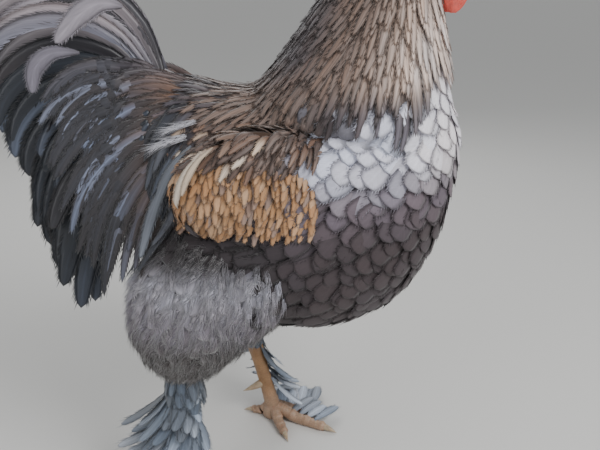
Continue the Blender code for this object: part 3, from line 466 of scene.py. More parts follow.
face_colours = np.zeros((len(owners), 3))
for owner, zone in ZONES.items():
    mine = owners == owner
    face_colours[mine] = zone(skin_surface.centres[mine])
vertex_colours = np.zeros((len(skin.data.vertices), 3))
shares = np.zeros(len(skin.data.vertices))
for corner in range(3):
    np.add.at(vertex_colours, skin_surface.triangles[:, corner], face_colours)
    np.add.at(shares, skin_surface.triangles[:, corner], 1)
paint_vertices(skin, vertex_colours / np.maximum(shares, 1)[:, None])
skin.data.transform(Matrix.Translation((AHEAD, 0, 0)))
dress(skin, down_and_shade_material(), "breast_feather", "torso")


# The feathers. A contour feather is a closed thin vane with a raised shaft, and loose barbs that
# stand off along its edges. A tuft of down is a bundle of fine strands. Each is rooted in the
# skin, follows the lie of the coat and lifts a little towards its tip, so that it lies over the next.
STATIONS = 5
PATCH = 0.003              # size of a feather's patch on the flat map of the skin
BARB_SLANT = 0.9           # how far the drawn barbs run towards the tip, for each unit outwards
GRAINS = 40.0              # spreads the feathers' tints over different places of the noise
FLOOR_CLEAR = 0.0006       # no feather hangs lower than this


def outline(t, widest, tip, root):
    """Half width of a vane at t, as a share of its widest."""
    if t < widest:
        return root + (1 - root) * math.sin(math.pi / 2 * t / widest)
    left = (t - widest) / (1 - widest)
    return max(1 - left ** tip, 0.0) ** (1 / tip)


def strand(corners, faces, base, end, wide, lengthwise):
    """A thin closed spike from base to end, both (along, across, up). Its foot is wide across the
    feather, or along it where lengthwise."""
    a, c, u = base
    first = len(corners)
    if lengthwise:
        corners += [(a - wide, c, u), (a + wide, c, u)]
    else:
        corners += [(a, c - wide, u), (a, c + wide, u)]
    corners += [(a, c, u + 0.00035), end]
    faces += [(first + 2, first + 1, first), (first, first + 1, first + 3),
              (first + 1, first + 2, first + 3), (first + 2, first, first + 3)]


def vane_shape(rows, widest, tip, root=0.35, barbs=16, loose=0.3, thick=0.00025, sweep=0.13, seed=1):
    """One feather as corners (along, across, up) and faces: a vane closed all round, and barbs on
    both edges that stand off by loose and run on for a share of the length, sweep."""
    draw = random.Random(seed)
    corners, faces = [], []
    for i in range(rows):
        t = (i / rows) ** 0.85
        half = outline(t, widest, tip, root) * (1 - 0.05 * (i % 2))
        up = thick * (1 - 0.5 * t)
        corners += [(t, -half, 0.0), (t, -half * 0.5, up * 1.2), (t, 0.0, up * 2.4),
                    (t, half * 0.5, up * 1.2), (t, half, 0.0), (t, 0.0, -up)]
    tip_corner = len(corners)
    corners.append((1.0, 0.0, 0.0))
    for i in range(rows - 1):
        a, b = 6 * i, 6 * i + 6
        for k in range(4):
            faces.append((a + k, a + k + 1, b + k + 1, b + k))
        faces += [(a + 4, a + 5, b + 5, b + 4), (a + 5, a, b, b + 5)]
    last = 6 * (rows - 1)
    for k in range(4):
        faces.append((last + k, last + k + 1, tip_corner))
    faces += [(last + 4, last + 5, tip_corner), (last + 5, last, tip_corner)]
    faces.append((5, 4, 3, 2, 1, 0))
    for i in range(barbs):
        t = 0.12 + 0.85 * (i // 2 + draw.uniform(0.2, 0.8)) / (barbs / 2)
        side = 1 if i % 2 else -1
        half = outline(t, widest, tip, root)
        reach = half + loose * draw.uniform(0.4, 1.0) * (0.4 + 0.6 * half)
        strand(corners, faces, (t, side * half * 0.86, 0.0),
               (t + sweep * draw.uniform(0.7, 1.2), side * reach, draw.uniform(-0.0004, 0.0010)),
               sweep * 0.27, True)
    return np.array(corners), faces


def down_shape(strands, wide=0.05, seed=1):
    """A tuft of down: fine loose strands that spread a little along a hidden shaft."""
    draw = random.Random(seed)
    corners, faces = [], []
    for i in range(strands):
        t = 0.62 * (i + 0.5) / strands
        aside = draw.uniform(-0.30, 0.30)
        strand(corners, faces, (t, aside, -0.0004),
               (min(t + draw.uniform(0.34, 0.50), 1.08), aside + draw.uniform(-0.75, 0.75),
                draw.uniform(-0.0015, 0.0022)), wide, False)
    return np.array(corners), faces


def scatter(mask, spacing, seed, surface=skin_surface):
    """Roots spread evenly over the faces in mask, no two closer than spacing, which may be a
    number or a function of the place."""
    draw = np.random.default_rng(seed)
    weights = surface.areas * mask
    if weights.sum() == 0:
        return np.zeros((0, 3))
    tight = spacing if not callable(spacing) else float(np.min(spacing(surface.centres[mask])))
    tries = int(7 * weights.sum() / tight ** 2)
    chosen = draw.choice(len(weights), size=tries, p=weights / weights.sum())
    a, b = draw.random(tries), draw.random(tries)
    fold = a + b > 1
    a[fold], b[fold] = 1 - a[fold], 1 - b[fold]
    corners = surface.corners[chosen]
    points = corners[:, 0] + a[:, None] * (corners[:, 1] - corners[:, 0]) \
        + b[:, None] * (corners[:, 2] - corners[:, 0])
    gaps = spacing(points) if callable(spacing) else np.full(tries, spacing)
    cell = float(gaps.max())
    cells, kept = {}, []
    keys = np.floor(points / cell).astype(int).tolist()
    rows = points.tolist()
    for i, (kx, ky, kz) in enumerate(keys):
        x, y, z = rows[i]
        near = gaps[i] ** 2
        free = True
        for dx in (-1, 0, 1):
            for dy in (-1, 0, 1):
                for dz in (-1, 0, 1):
                    for j in cells.get((kx + dx, ky + dy, kz + dz), ()):
                        qx, qy, qz = rows[j]
                        if (x - qx) ** 2 + (y - qy) ** 2 + (z - qz) ** 2 < near:
                            free = False
                            break
                    if not free:
                        break
                if not free:
                    break
            if not free:
                break
        if free:
            cells.setdefault((kx, ky, kz), []).append(i)
            kept.append(i)
    return points[kept]


def unit(v):
    return v / np.maximum(np.linalg.norm(v, axis=-1), 1e-9)[..., None]


def lay(roots, length, half, lift, heading, seed, stray=0.10, sunk=0.0012, rise_power=0.7,
        surface=skin_surface):
    """Runs a feather from each root over the skin along heading(place), as lines of its middle
    and its two edges with the way out at each station."""
    draw = np.random.default_rng(seed)
    n = len(roots)
    length, half, lift = (np.broadcast_to(np.asarray(v, float), (n,)) for v in (length, half, lift))
    length = length * draw.uniform(0.88, 1.12, n)
    half = half * draw.uniform(0.92, 1.08, n)
    lift = lift * draw.uniform(0.75, 1.25, n)
    turn = draw.normal(0, stray, n)
    tilt = draw.normal(0, 0.06, n)
    base, out, first = surface.nearest(roots)
    lines = {"middle": [], "left": [], "right": [], "out": []}
    for k in range(STATIONS):
        t = k / (STATIONS - 1)
        way = heading(base)
        way = unit(way - out * (way * out).sum(-1)[:, None])
        across = np.cross(way, out)
        way = unit(way + across * turn[:, None])
        across = np.cross(way, out)
        height = -sunk + (lift + sunk) * t ** rise_power
        lines["middle"].append(base + out * height[:, None])
        lines["out"].append(out)
        for sign, name in ((-1, "left"), (1, "right")):
            spot, side_out, _ = surface.nearest(base + sign * across * half[:, None])
            edge = height + sign * tilt * half
            lines[name].append(spot + side_out * edge[:, None])
        if k < STATIONS - 1:
            base, out, _ = surface.nearest(base + way * (length / (STATIONS - 1))[:, None])
    return {**{name: np.stack(rows, axis=1) for name, rows in lines.items()},
            "flat": surface.flat[first], "root": roots, "tint": draw.random(n), "length": length}


def station_shares(ts, count):
    """How much each station counts at each t, along a smooth curve."""
    shares = np.zeros((len(ts), count))
    for row, t in enumerate(ts):
        for k in range(count):
            pick = np.zeros(count)
            pick[k] = 1.0
            shares[row, k] = through(pick, float(t))
    return shares


def weave(name, quills, shape, paint, material, slot, *nodes):
    """All feathers of one kind as one mesh, with the colour of each corner from paint."""
    corners, faces = shape
    ts, across, up = np.clip(corners[:, 0], 0.0, 1.0), corners[:, 1], corners[:, 2]
    beyond = np.maximum(corners[:, 0] - 1.0, 0.0)
    weights = station_shares(ts, quills["middle"].shape[1])
    middle = np.einsum("ms,nsk->nmk", weights, quills["middle"])
    left = np.einsum("ms,nsk->nmk", weights, quills["left"])
    right = np.einsum("ms,nsk->nmk", weights, quills["right"])
    out = unit(np.einsum("ms,nsk->nmk", weights, quills["out"]))
    last_way = unit(quills["middle"][:, -1] - quills["middle"][:, -2])
    spread, bow = (right - left) / 2, (left + right) / 2 - middle
    past_tip = beyond[None, :, None] * quills["length"][:, None, None]
    points = middle + spread * across[None, :, None] + bow * (across ** 2)[None, :, None] \
        + out * up[None, :, None] + last_way[:, None, :] * past_tip
    count, size = len(points), len(corners)
    colours = paint(quills, points, ts, across)
    mesh = bpy.data.meshes.new(name)
    mesh.vertices.add(count * size)
    moved = points + np.array([AHEAD, 0, 0])
    moved[..., 2] = np.maximum(moved[..., 2], FLOOR_CLEAR)
    mesh.vertices.foreach_set("co", moved.reshape(-1))
    loops = np.array([i for face in faces for i in face])
    starts = np.cumsum([0] + [len(face) for face in faces[:-1]])
    all_loops = (loops[None, :] + size * np.arange(count)[:, None]).reshape(-1)
    all_starts = (starts[None, :] + len(loops) * np.arange(count)[:, None]).reshape(-1)
    mesh.loops.add(len(all_loops))
    mesh.loops.foreach_set("vertex_index", all_loops)
    mesh.polygons.add(len(all_starts))
    mesh.polygons.foreach_set("loop_start", all_starts)
    mesh.update(calc_edges=True)
    vane_map = np.stack([across * 0.5 + 0.5, ts], axis=-1)
    flat_map = np.stack([across * 0.5, ts - 0.5], axis=-1)[None] * PATCH + quills["flat"][:, None, :]
    for layer, values in (("OFBake", flat_map.reshape(-1, 2)),
                          ("vane", np.tile(vane_map, (count, 1)))):
        mesh.uv_layers.new(name=layer).data.foreach_set("uv", values[all_loops].reshape(-1))
    obj = bpy.data.objects.new(name, mesh)
    bpy.context.scene.collection.objects.link(obj)
    paint_vertices(obj, colours.reshape(-1, 3))
    tint = mesh.attributes.new("tint", "FLOAT", "POINT")
    tint.data.foreach_set("value", np.repeat(quills["tint"], size))
    mesh.shade_smooth()
    dress(obj, material, slot, *nodes)


def feather_material(name, roughness, specular=0.45, sheen=0.15, streak=0.25, shaft=0.2, across=3.0,
                     along=22.0):
    """Keratin vanes: fine parallel barbs, slightly glossy, over a paler shaft. Real barbs lie some
    0.3 mm apart, too fine to show, so they are drawn coarser: across and along streaks a feather."""
    material, tree, shader = fresh_material(name, roughness, specular, sheen)
    colour = add(tree, "VertexColor", layer_name="coat")
    tint = add(tree, "Attribute", attribute_name="tint")
    vane = add(tree, "UVMap", uv_map="vane")
    split = add(tree, "SeparateXYZ", {0: vane.outputs["UV"]})
    centred = calc(tree, "SUBTRACT", split.outputs["X"], 0.5)
    aside = calc(tree, "ABSOLUTE", centred)
    slant = calc(tree, "MULTIPLY_ADD", aside, -BARB_SLANT, split.outputs["Y"])
    place = add(tree, "CombineXYZ", {0: calc(tree, "MULTIPLY", centred, across * 2),
                                     1: calc(tree, "MULTIPLY", slant, along),
                                     2: calc(tree, "MULTIPLY", tint.outputs["Fac"], GRAINS)})
    barbs = add(tree, "TexNoise", {"Vector": place.outputs[0], "Scale": 1.0, "Detail": 3.0})
    shade = add(tree, "MapRange", {"Value": barbs.outputs["Fac"], "From Min": 0.25, "From Max": 0.75,
                                   "To Min": 1 - streak, "To Max": 1 + streak})
    rib = add(tree, "MapRange", {"Value": aside, "From Min": 0.02, "From Max": 0.06,
                                 "To Min": 1 + shaft, "To Max": 1.0})
    both = calc(tree, "MULTIPLY", shade.outputs["Result"], rib.outputs["Result"])
    finish_look(tree, shader, dim(tree, colour.outputs["Color"], both), barbs.outputs["Fac"], 0.30, 0.0005)
    return material


def keep(quills, mask):
    return {name: values[mask] for name, values in quills.items()}


def soft_tint(quills, strength):
    """Each feather a little lighter or darker, and bluer or warmer, than the next."""
    tint = quills["tint"]
    value = 1 + strength * (tint - 0.5) * 2
    warm = strength * 0.35 * np.sin(tint * 57.0)
    return np.stack([value * (1 + warm), value, value * (1 - warm)], axis=-1)[:, None, :]


# Breast and flank feathers. Broad and round, they overlap like scales on the breast and grow
# softer below and behind. Lavender grey with a slightly darker rim; a painted highlight makes
# them nearly white in front.
BREAST_LENGTH = 0.034
BREAST_HALF = 0.0135
BREAST_SPACING = 0.0118
BREAST_LIFT = 0.0052
# The lower edge of the hackle, which lies over breast and shoulder: x and z
HACKLE_EDGE = ((-0.060, 0.425), (-0.028, 0.404), (-0.014, 0.416), (0.000, 0.430), (0.028, 0.431),
               (0.064, 0.441), (0.084, 0.428), (0.102, 0.418), (0.130, 0.452), (0.147, 0.478))


def hackle_edge(x):
    return np.interp(x, [p[0] for p in HACKLE_EDGE], [p[1] for p in HACKLE_EDGE])


def ways(p, x, y, z):
    """A way for each place, from its three parts, each a number or one value a place."""
    way = np.empty_like(p)
    way[:, 0], way[:, 1], way[:, 2] = x, y, z
    return way


def body_heading(p):
    """Back along the body, and down its sides."""
    return ways(p, -1.0, 0.0, -0.35 - 0.75 * ramp(p[:, 0], -0.02, 0.09))


def breast_paint(quills, points, ts, across):
    colour = trunk_colour(np.broadcast_to(quills["root"][:, None, :], points.shape))
    rim = np.maximum(ramp(ts, 0.84, 0.99), ramp(np.abs(across), 0.62, 1.0))
    # The slightly darker rim is the feather's own; the darkening towards the root is painted shade under the
    # feathers that overlap it.
    shade = 1 - 0.12 * rim - 0.22 * ramp(ts, 0.65, 0.30)
    return colour * shade[None, :, None] * soft_tint(quills, 0.06)


place = skin_surface.centres
trunk_faces = owners == "trunk"
neck_faces = owners == "neck"
beside = np.abs(place[:, 1]) > 0.062
under_hackle = (place[:, 0] > -0.03) & (place[:, 2] > hackle_edge(place[:, 0]) + 0.040)
saddle_zone = (place[:, 0] < 0.020) & (place[:, 2] > 0.432 - 0.35 * np.clip(-place[:, 0] - 0.09, 0, 1))
rear_zone = (place[:, 0] < -0.118) & (place[:, 2] < 0.425)
rear_zone |= (place[:, 0] < -0.020) & (place[:, 2] < 0.255)       # the belly between the thighs
breast_zone = (trunk_faces | neck_faces) & ~under_hackle & ~saddle_zone & ~rear_zone
patch = beside & (place[:, 0] > -0.119) & (place[:, 0] < 0.014) & (owners != "thigh")
patch &= (place[:, 2] > 0.3560) & (place[:, 2] < 0.426 - 0.9 * np.maximum(place[:, 0] + 0.012, 0))
bow = beside & (place[:, 0] > -0.112) & (place[:, 0] < 0.028) & (place[:, 2] > 0.424)
bow &= (place[:, 2] < 0.448) & ~neck_faces
breast_zone &= ~((patch | bow) & (place[:, 2] > 0.366))
breast_roots = scatter(breast_zone, BREAST_SPACING, 3)
front = ramp(breast_roots[:, 0], 0.0, 0.10)
breast_quills = lay(breast_roots, BREAST_LENGTH * (1.25 - 0.25 * front), BREAST_HALF * (0.85 + 0.15 * front),
                    BREAST_LIFT, body_heading, seed=4, stray=0.12)
contour = feather_material("keratin_contour_vane", 0.62, specular=0.35, sheen=0.10, streak=0.10, shaft=0.08)
weave("breast_feathers", breast_quills, vane_shape(8, 0.62, 2.6, 0.5, barbs=20, loose=0.10, seed=2),
      breast_paint, contour, "breast_feather")


# Hackle. Long narrow pointed feathers with silky loose edges hang from the head down over the
# shoulders, in tiers that hide one another's roots.
HACKLE_FROM = np.array([0.112, 0.0, 0.650])


def hackle_heading(p):
    way = p - HACKLE_FROM
    way[:, 1] *= 0.8
    return way


def neck_share(p):
    """0 at the head and 1 at the shoulders."""
    return np.clip((0.640 - p[:, 2] + 0.25 * p[:, 0]) / 0.19, 0.0, 1.0)


def hackle_paint(quills, points, ts, across):
    colour = neck_colour(points)
    middle = ramp(np.abs(across), 0.60, 0.0)
    tip = ramp(ts, 0.75, 1.0)
    # The loose edges are painted lighter: painted light against the shade that falls between the feathers.
    light = 0.98 + 0.14 * middle - 0.06 * tip + 0.10 * ramp(np.abs(across), 0.9, 1.2)
    colour = colour * light[None, :, None]
    # round the lower edge the feathers are laced: slate, with a paler stripe down the middle
    low = ramp(points[..., 2] - hackle_edge(points[..., 0]), 0.050, 0.010)
    low = low * ramp(points[..., 0], 0.035, 0.075)
    stripe = ramp(np.abs(across), 0.55, 0.15)[None, :] * low * (quills["tint"] > 0.35)[:, None]
    colour = mix(colour, linear("#7d7780"), 0.45 * stripe)
    return colour * soft_tint(quills, 0.13)


hackle_roots = scatter(neck_faces, lambda p: 0.0038 + 0.0034 * neck_share(p), 11)
share = neck_share(hackle_roots)
hackle_quills = lay(hackle_roots, 0.032 + 0.060 * share, 0.0029 + 0.0032 * share,
                    0.0036 + 0.0054 * share, hackle_heading, seed=12, stray=0.06, rise_power=0.8)
ends = hackle_quills["middle"][:, -1]
ragged = 0.007 * np.sin(hackle_quills["tint"] * 91.0)
hackle_quills = keep(hackle_quills, ends[:, 2] > hackle_edge(ends[:, 0]) + ragged)
silky = feather_material("keratin_silky_hackle", 0.48, specular=0.45, sheen=0.2, streak=0.30, shaft=0.22,
                         across=3.5, along=2.5)
silky_vane = vane_shape(9, 0.45, 1.35, 0.5, barbs=18, loose=0.45, seed=5)
upper = hackle_quills["root"][:, 2] > 0.535
weave("hackle_upper", keep(hackle_quills, upper), silky_vane, hackle_paint, silky, "hackle_feather", "neck")
weave("hackle_lower", keep(hackle_quills, ~upper), silky_vane, hackle_paint, silky, "hackle_feather")


# Saddle. The same silky kind, from the back over the rump and the wings' upper edge. Behind the
# wing longer ones hang down the flank, brown in front and slate towards the tail.
def saddle_heading(p):
    return ways(p, -1.0, 0.9 * np.clip(p[:, 1], -0.05, 0.05), -0.20 - 1.3 * ramp(p[:, 2], 0.470, 0.400))


def saddle_paint(quills, points, ts, across):
    colour = trunk_colour(points)
    bronze = ramp(quills["tint"], 0.45, 0.95)[:, None] * ramp(points[..., 0], -0.13, -0.02)
    colour = mix(colour, SADDLE_BRONZE, 0.8 * bronze)
    middle = ramp(np.abs(across), 0.5, 0.0)
    # The darkening towards the root is painted shade under the feathers that overlap it.
    light = 1 + 0.16 * middle - 0.12 * ramp(ts, 0.7, 1.0) - 0.15 * ramp(ts, 0.4, 0.1)
    return colour * light[None, :, None] * soft_tint(quills, 0.16)


saddle_faces = (trunk_faces & saddle_zone & ~rear_zone) | (owners == "rump") & (place[:, 2] > 0.425)
saddle_roots = scatter(saddle_faces, 0.0068, 21)
saddle_quills = lay(saddle_roots, 0.070, 0.0056, 0.0075, saddle_heading, seed=22, stray=0.08)
weave("saddle_feathers", saddle_quills, silky_vane, saddle_paint, silky, "breast_feather")

FLANK_HANG = (0.095, 0.145)      # length of the hanging feathers, first in front and then behind


def flank_heading(p):
    return ways(p, -0.55 + 0.30 * ramp(p[:, 2], 0.40, 0.34), 0.0, -1.0)


def flank_paint(quills, points, ts, across):
    back = ramp(points[..., 0], -0.085, -0.135)
    colour = mix(np.broadcast_to(linear("#493d3e"), points.shape), linear("#31333b"), back)
    # sheen here is a painted highlight: a blue-grey shine down the middle of some feathers behind.
    sheen = ramp(quills["tint"], 0.70, 0.95)[:, None] * ramp(np.abs(across), 0.7, 0.1)[None, :]
    colour = mix(colour, linear("#6c7484"), 0.35 * sheen * back)
    light = 1 - 0.10 * ramp(np.abs(across), 0.6, 1.0)
    return colour * light[None, :, None] * soft_tint(quills, 0.15)


flank_faces = (trunk_faces | (owners == "rump")) & (place[:, 0] < -0.086) & (place[:, 2] > 0.392)
flank_faces &= (place[:, 2] < 0.466) & (np.abs(place[:, 1]) > 0.018)
flank_roots = scatter(flank_faces, 0.0080, 25)
behind = ramp(flank_roots[:, 0], -0.09, -0.15)
flank_quills = lay(flank_roots, FLANK_HANG[0] + (FLANK_HANG[1] - FLANK_HANG[0]) * behind, 0.0066, 0.0125,
                   flank_heading, seed=26, stray=0.10)
flank_vane = vane_shape(12, 0.5, 1.5, 0.45, barbs=40, loose=0.4, sweep=0.07, seed=14)
weave("flank_feathers", flank_quills, flank_vane, flank_paint, silky, "tail_feather")


# Wings. Folded against the sides: a brown bow of loose streaked feathers above, and the buff patch
# of many small narrow coverts that hang in rows over the flight feathers.
WING_BUFF = linear("#ad8159")
WING_PALE = linear("#c3a283")
# painted shade at the roots of the coverts, where the row above covers them
WING_ROOT_SHADE = linear("#5c4231")
WING_BOW = linear("#57463f")


def wing_heading(p):
    return ways(p, -0.22, 0.0, -1.0)


def wing_paint(quills, points, ts, across):
    tint = quills["tint"][:, None]
    colour = mix(np.broadcast_to(WING_BUFF, points.shape), WING_PALE, ramp(tint, 0.6, 1.0) * 0.6)
    colour = mix(colour, linear("#8f7f7c"), 0.7 * (tint < 0.12))
    # painted shade towards the root, where the row above covers each covert
    colour = mix(colour, WING_ROOT_SHADE, ramp(ts, 0.45, 0.10)[None, :])
    colour = mix(colour, WING_PALE, 0.4 * ramp(ts, 0.8, 1.0)[None, :])
    edge = 1 - 0.18 * ramp(np.abs(across), 0.55, 1.0)
    return colour * edge[None, :, None] * soft_tint(quills, 0.10)


def bow_paint(quills, points, ts, across):
    tint, x = quills["tint"][:, None], points[..., 0]
    colour = mix(np.broadcast_to(WING_BOW, points.shape), SADDLE_BRONZE, 0.8 * ramp(tint, 0.4, 0.7))
    cream = ramp(tint, 0.74, 0.90) * ramp(x, -0.005, -0.030)
    colour = mix(colour, linear("#cab8a5"), 0.8 * cream * ramp(ts, 0.2, 0.7)[None, :])
    # The darkening towards the root is painted shade under the feathers over it.
    light = 1 + 0.12 * ramp(np.abs(across), 0.5, 0.0) - 0.2 * ramp(ts, 0.4, 0.1)
    return colour * light[None, :, None] * soft_tint(quills, 0.14)


wing_quills = lay(scatter(patch, 0.0049, 31), 0.024, 0.0039, 0.0078, wing_heading, seed=32, stray=0.12)
covert = feather_material("keratin_wing_covert", 0.55, sheen=0.2, streak=0.14, shaft=0.12, across=3.0,
                          along=9.0)
weave("wing_coverts", wing_quills, vane_shape(7, 0.50, 1.45, 0.5, barbs=12, loose=0.22, seed=8), wing_paint,
      covert, "wing_feather", "wing_right", "wing_left")


def bow_heading(p):
    return ways(p, -0.80, 0.0, -1.0)


bow_quills = lay(scatter(bow, 0.0052, 35), 0.030, 0.0038, 0.0092, bow_heading, seed=36, stray=0.14)
weave("wing_bow", bow_quills, silky_vane, bow_paint, silky, "wing_feather")


# Tail. Main feathers, sickles and coverts spring from the rump, arch over and hang down behind in
# nested leaves to each side. Glossy slate with painted blue highlights, paler and mauve along the
# top, with soft loose tips.
TAIL_LEAVES = (
    # count, first and last elevation at the root and at the tip, first and last length, half width,
    # curl, share of the splay, start of the quills ahead of the rump
    (9, 76, 4, -10, -42, 0.150, 0.115, 0.0160, 1.20, 0.40, 0.000),
    (8, 88, 60, -60, -76, 0.244, 0.215, 0.0150, 1.20, 0.60, 0.000),
    (11, 60, 18, -78, -86, 0.200, 0.160, 0.0140, 1.10, 0.80, 0.000),
    (14, 22, -46, -88, -84, 0.165, 0.205, 0.0130, 0.70, 0.98, 0.006),
    (14, 50, -40, -70, -82, 0.125, 0.150, 0.0120, 0.85, 1.02, 0.020),
)
TAIL_SPLAY = 0.29
TAIL_TURN = 0.72
TAIL_QUILL = 0.016
TAIL_STATIONS = 8
LEAF_STEP = 0.00062        # how much farther out each leaf lies than the one before
LEAF_CLEAR = 0.003         # least height over the skin, and how much it grows from leaf to leaf
LEAF_RISE = 0.00012
TAIL_SLATE = linear("#2b2f37")
# painted highlight: blue reflections of the tail's gloss
TAIL_BLUE_HIGHLIGHT = linear("#78849e")
TAIL_PALE = linear("#b0a6ad")
TAIL_BROWN = linear("#423a3c")


def tail_out(x, z, layer, share):
    """Distance of a tail leaf from the middle plane at x and z, and its slopes along x and z."""
    dx, dz = x - RUMP.x, z - RUMP.z
    reach = max(math.hypot(dx, dz), 1e-6)
    drop = TAIL_TURN * (math.radians(85) - math.atan2(dz, -dx))
    splay = share * (0.05 + TAIL_SPLAY * math.sin(drop))
    turn = -share * TAIL_SPLAY * TAIL_TURN * math.cos(drop)
    y = 0.0024 + LEAF_STEP * layer + splay * reach
    return y, (splay * dx + turn * dz) / reach, (splay * dz - turn * dx) / reach


def over_skin(p, clear):
    """The place p, or the place clear above the skin where p lies deeper."""
    spot, out, _ = skin_surface.nearest(np.array([p]))
    spot, out = Vector(spot[0]), Vector(out[0])
    depth = (Vector(p) - spot).dot(out)
    return Vector(p) if depth > clear else Vector(p) + out * (clear - depth)


def hang(lines, tints=None):
    """Feathers from free lines: each a list of (place, way out, way across, half width) per station."""
    middle = np.array([[tuple(p) for p, _, _, _ in line] for line in lines])
    outs = np.array([[tuple(o) for _, o, _, _ in line] for line in lines])
    across = np.array([[tuple(a * w) for _, _, a, w in line] for line in lines])
    _, _, first = skin_surface.nearest(middle[:, 0])
    if tints is None:
        tints = np.random.default_rng(len(lines)).random(len(lines))
    return {"middle": middle, "left": middle - across, "right": middle + across, "out": outs,
            "flat": skin_surface.flat[first], "root": middle[:, 0], "tint": np.array(tints),
            "length": np.linalg.norm(middle[:, -1] - middle[:, -2], axis=1) * (middle.shape[1] - 1)}


def finish_line(line, cup=0.0):
    """Adds to each station the way across the feather, tilted by cup."""
    for k, item in enumerate(line):
        way = line[min(k + 1, len(line) - 1)][0] - line[max(k - 1, 0)][0]
        item[2] = way.normalized().cross(item[1]).normalized()
        item[2] = (item[2] + item[1] * cup).normalized()


def backwards(degrees):
    """The way back and up at an angle over the horizontal."""
    turned = math.radians(degrees)
    return Vector((-math.cos(turned), 0, math.sin(turned)))


def bent_path(start, up, down, length, curl, steps):
    """Places along a bend that leaves start backwards at up degrees and turns over to down."""
    points, at = [start.copy()], start.copy()
    for i in range(steps):
        at = at + backwards(up + (down - up) * ((i + 0.5) / steps) ** curl) * (length / steps)
        points.append(at.copy())
    return [points[round(steps * k / (TAIL_STATIONS - 1))] for k in range(TAIL_STATIONS)]


def arched_line(side, start, up, down, length, curl, half, layer, share, cup=0.0):
    """A tail feather, which rises backwards and turns over."""
    line = []
    for p in bent_path(start + backwards(up) * TAIL_QUILL, up, down, length, curl, 28):
        y, slope_x, slope_z = tail_out(p.x, p.z, layer, share)
        place = over_skin((p.x, side * y, p.z), LEAF_CLEAR + LEAF_RISE * layer)
        out = Vector((-slope_x, side, -slope_z)).normalized()
        line.append([place, out, None, half])
    finish_line(line, cup)
    return line


def low_shade(points):
    """The tail darkens towards its lower edge."""
    return (0.62 + 0.38 * ramp(points[..., 2], 0.31, 0.43))[..., None]


def tail_paint(quills, points, ts, across):
    root_turn = quills["rise"][:, None]
    height = ramp(points[..., 2], 0.44, 0.58)
    tint = quills["tint"][:, None]
    # painted highlight: blue reflections of the gloss down the middle of some feathers, stronger higher up
    colour = mix(np.broadcast_to(TAIL_SLATE, points.shape), TAIL_BLUE_HIGHLIGHT,
                 ramp(tint, 0.50, 1.0) * (0.20 + 0.55 * height) * ramp(np.abs(across), 0.9, 0.2)[None, :])
    colour = mix(colour, TAIL_BROWN, 0.7 * ramp(tint, 0.35, 0.05) * (1 - height))
    pale = ramp(root_turn, 50, 78) * ramp(tint, 0.05, 0.35) * height
    colour = mix(colour, TAIL_PALE, 0.85 * pale)
    # Darker at the rim; the darkening at the root is painted shade under the feathers over it.
    edge = 1 - 0.22 * ramp(np.abs(across), 0.6, 1.0) - 0.50 * ramp(ts, 0.15, 0.0)
    return colour * edge[None, :, None] * low_shade(points) * soft_tint(quills, 0.16)


draw = random.Random(23)
tail_lines, tail_rises = [], []
for side in (1, -1):
    layer = 0
    for count, up0, up1, down0, down1, long0, long1, half, curl, share_out, ahead in TAIL_LEAVES:
        for i in range(count):
            share = i / (count - 1)
            up = up0 + (up1 - up0) * share + draw.uniform(-4, 4)
            start = RUMP + Vector((ahead * draw.uniform(0.4, 1.3), 0, ahead * (0.2 - share)))
            tail_lines.append(arched_line(
                side, start, up, down0 + (down1 - down0) * share + draw.uniform(-7, 7),
                (long0 + (long1 - long0) * share) * draw.uniform(0.90, 1.03), curl,
                half * draw.uniform(0.9, 1.1), layer, share_out, cup=draw.uniform(-0.15, 0.10)))
            tail_rises.append(up)
            layer += 1
tail_quills = hang(tail_lines)
tail_quills["rise"] = np.array(tail_rises)
glossy = feather_material("keratin_glossy_tail_vane", 0.40, specular=0.5, sheen=0.1, streak=0.16, shaft=0.35,
                          across=3.0, along=26.0)
tail_vane = vane_shape(26, 0.60, 1.9, 0.15, barbs=110, loose=0.20, thick=0.00035, sweep=0.05, seed=7)
weave("tail_feathers", tail_quills, tail_vane, tail_paint, glossy, "tail_feather", "tail")


# Tail coverts. Brown pointed feathers that run on from the saddle over the roots of the tail and
# turn slate towards their tips, with a few loose pale ones that have curled out of line.
COVERT_LAYER = 70


def covert_lines(roots, draw):
    lines = []
    for root in roots:
        root = Vector(root)
        side = 1 if root.y > 0 else -1
        high = min(max((root.z - 0.405) / 0.075, 0.0), 1.0)
        up = -52 + 100 * high + draw.uniform(-6, 6)
        down = -86 + 26 * high + draw.uniform(-6, 6)
        length = (0.135 - 0.025 * high) * draw.uniform(0.85, 1.1)
        line = []
        for k, p in enumerate(bent_path(root, up, down, length, 0.9, 21)):
            t = k / (TAIL_STATIONS - 1)
            y, slope_x, slope_z = tail_out(p.x, p.z, COVERT_LAYER, 1.02)
            y = abs(root.y) * (1 - t) ** 2 + y * (1 - (1 - t) ** 2) if p.x > RUMP.x - 0.03 else y
            out = Vector((-slope_x, side, -slope_z)).normalized()
            clear = -0.001 + 0.010 * t ** 0.6
            line.append([over_skin((p.x, side * y, p.z), clear), out, None, 0.0072])
        finish_line(line)
        lines.append(line)
    return lines


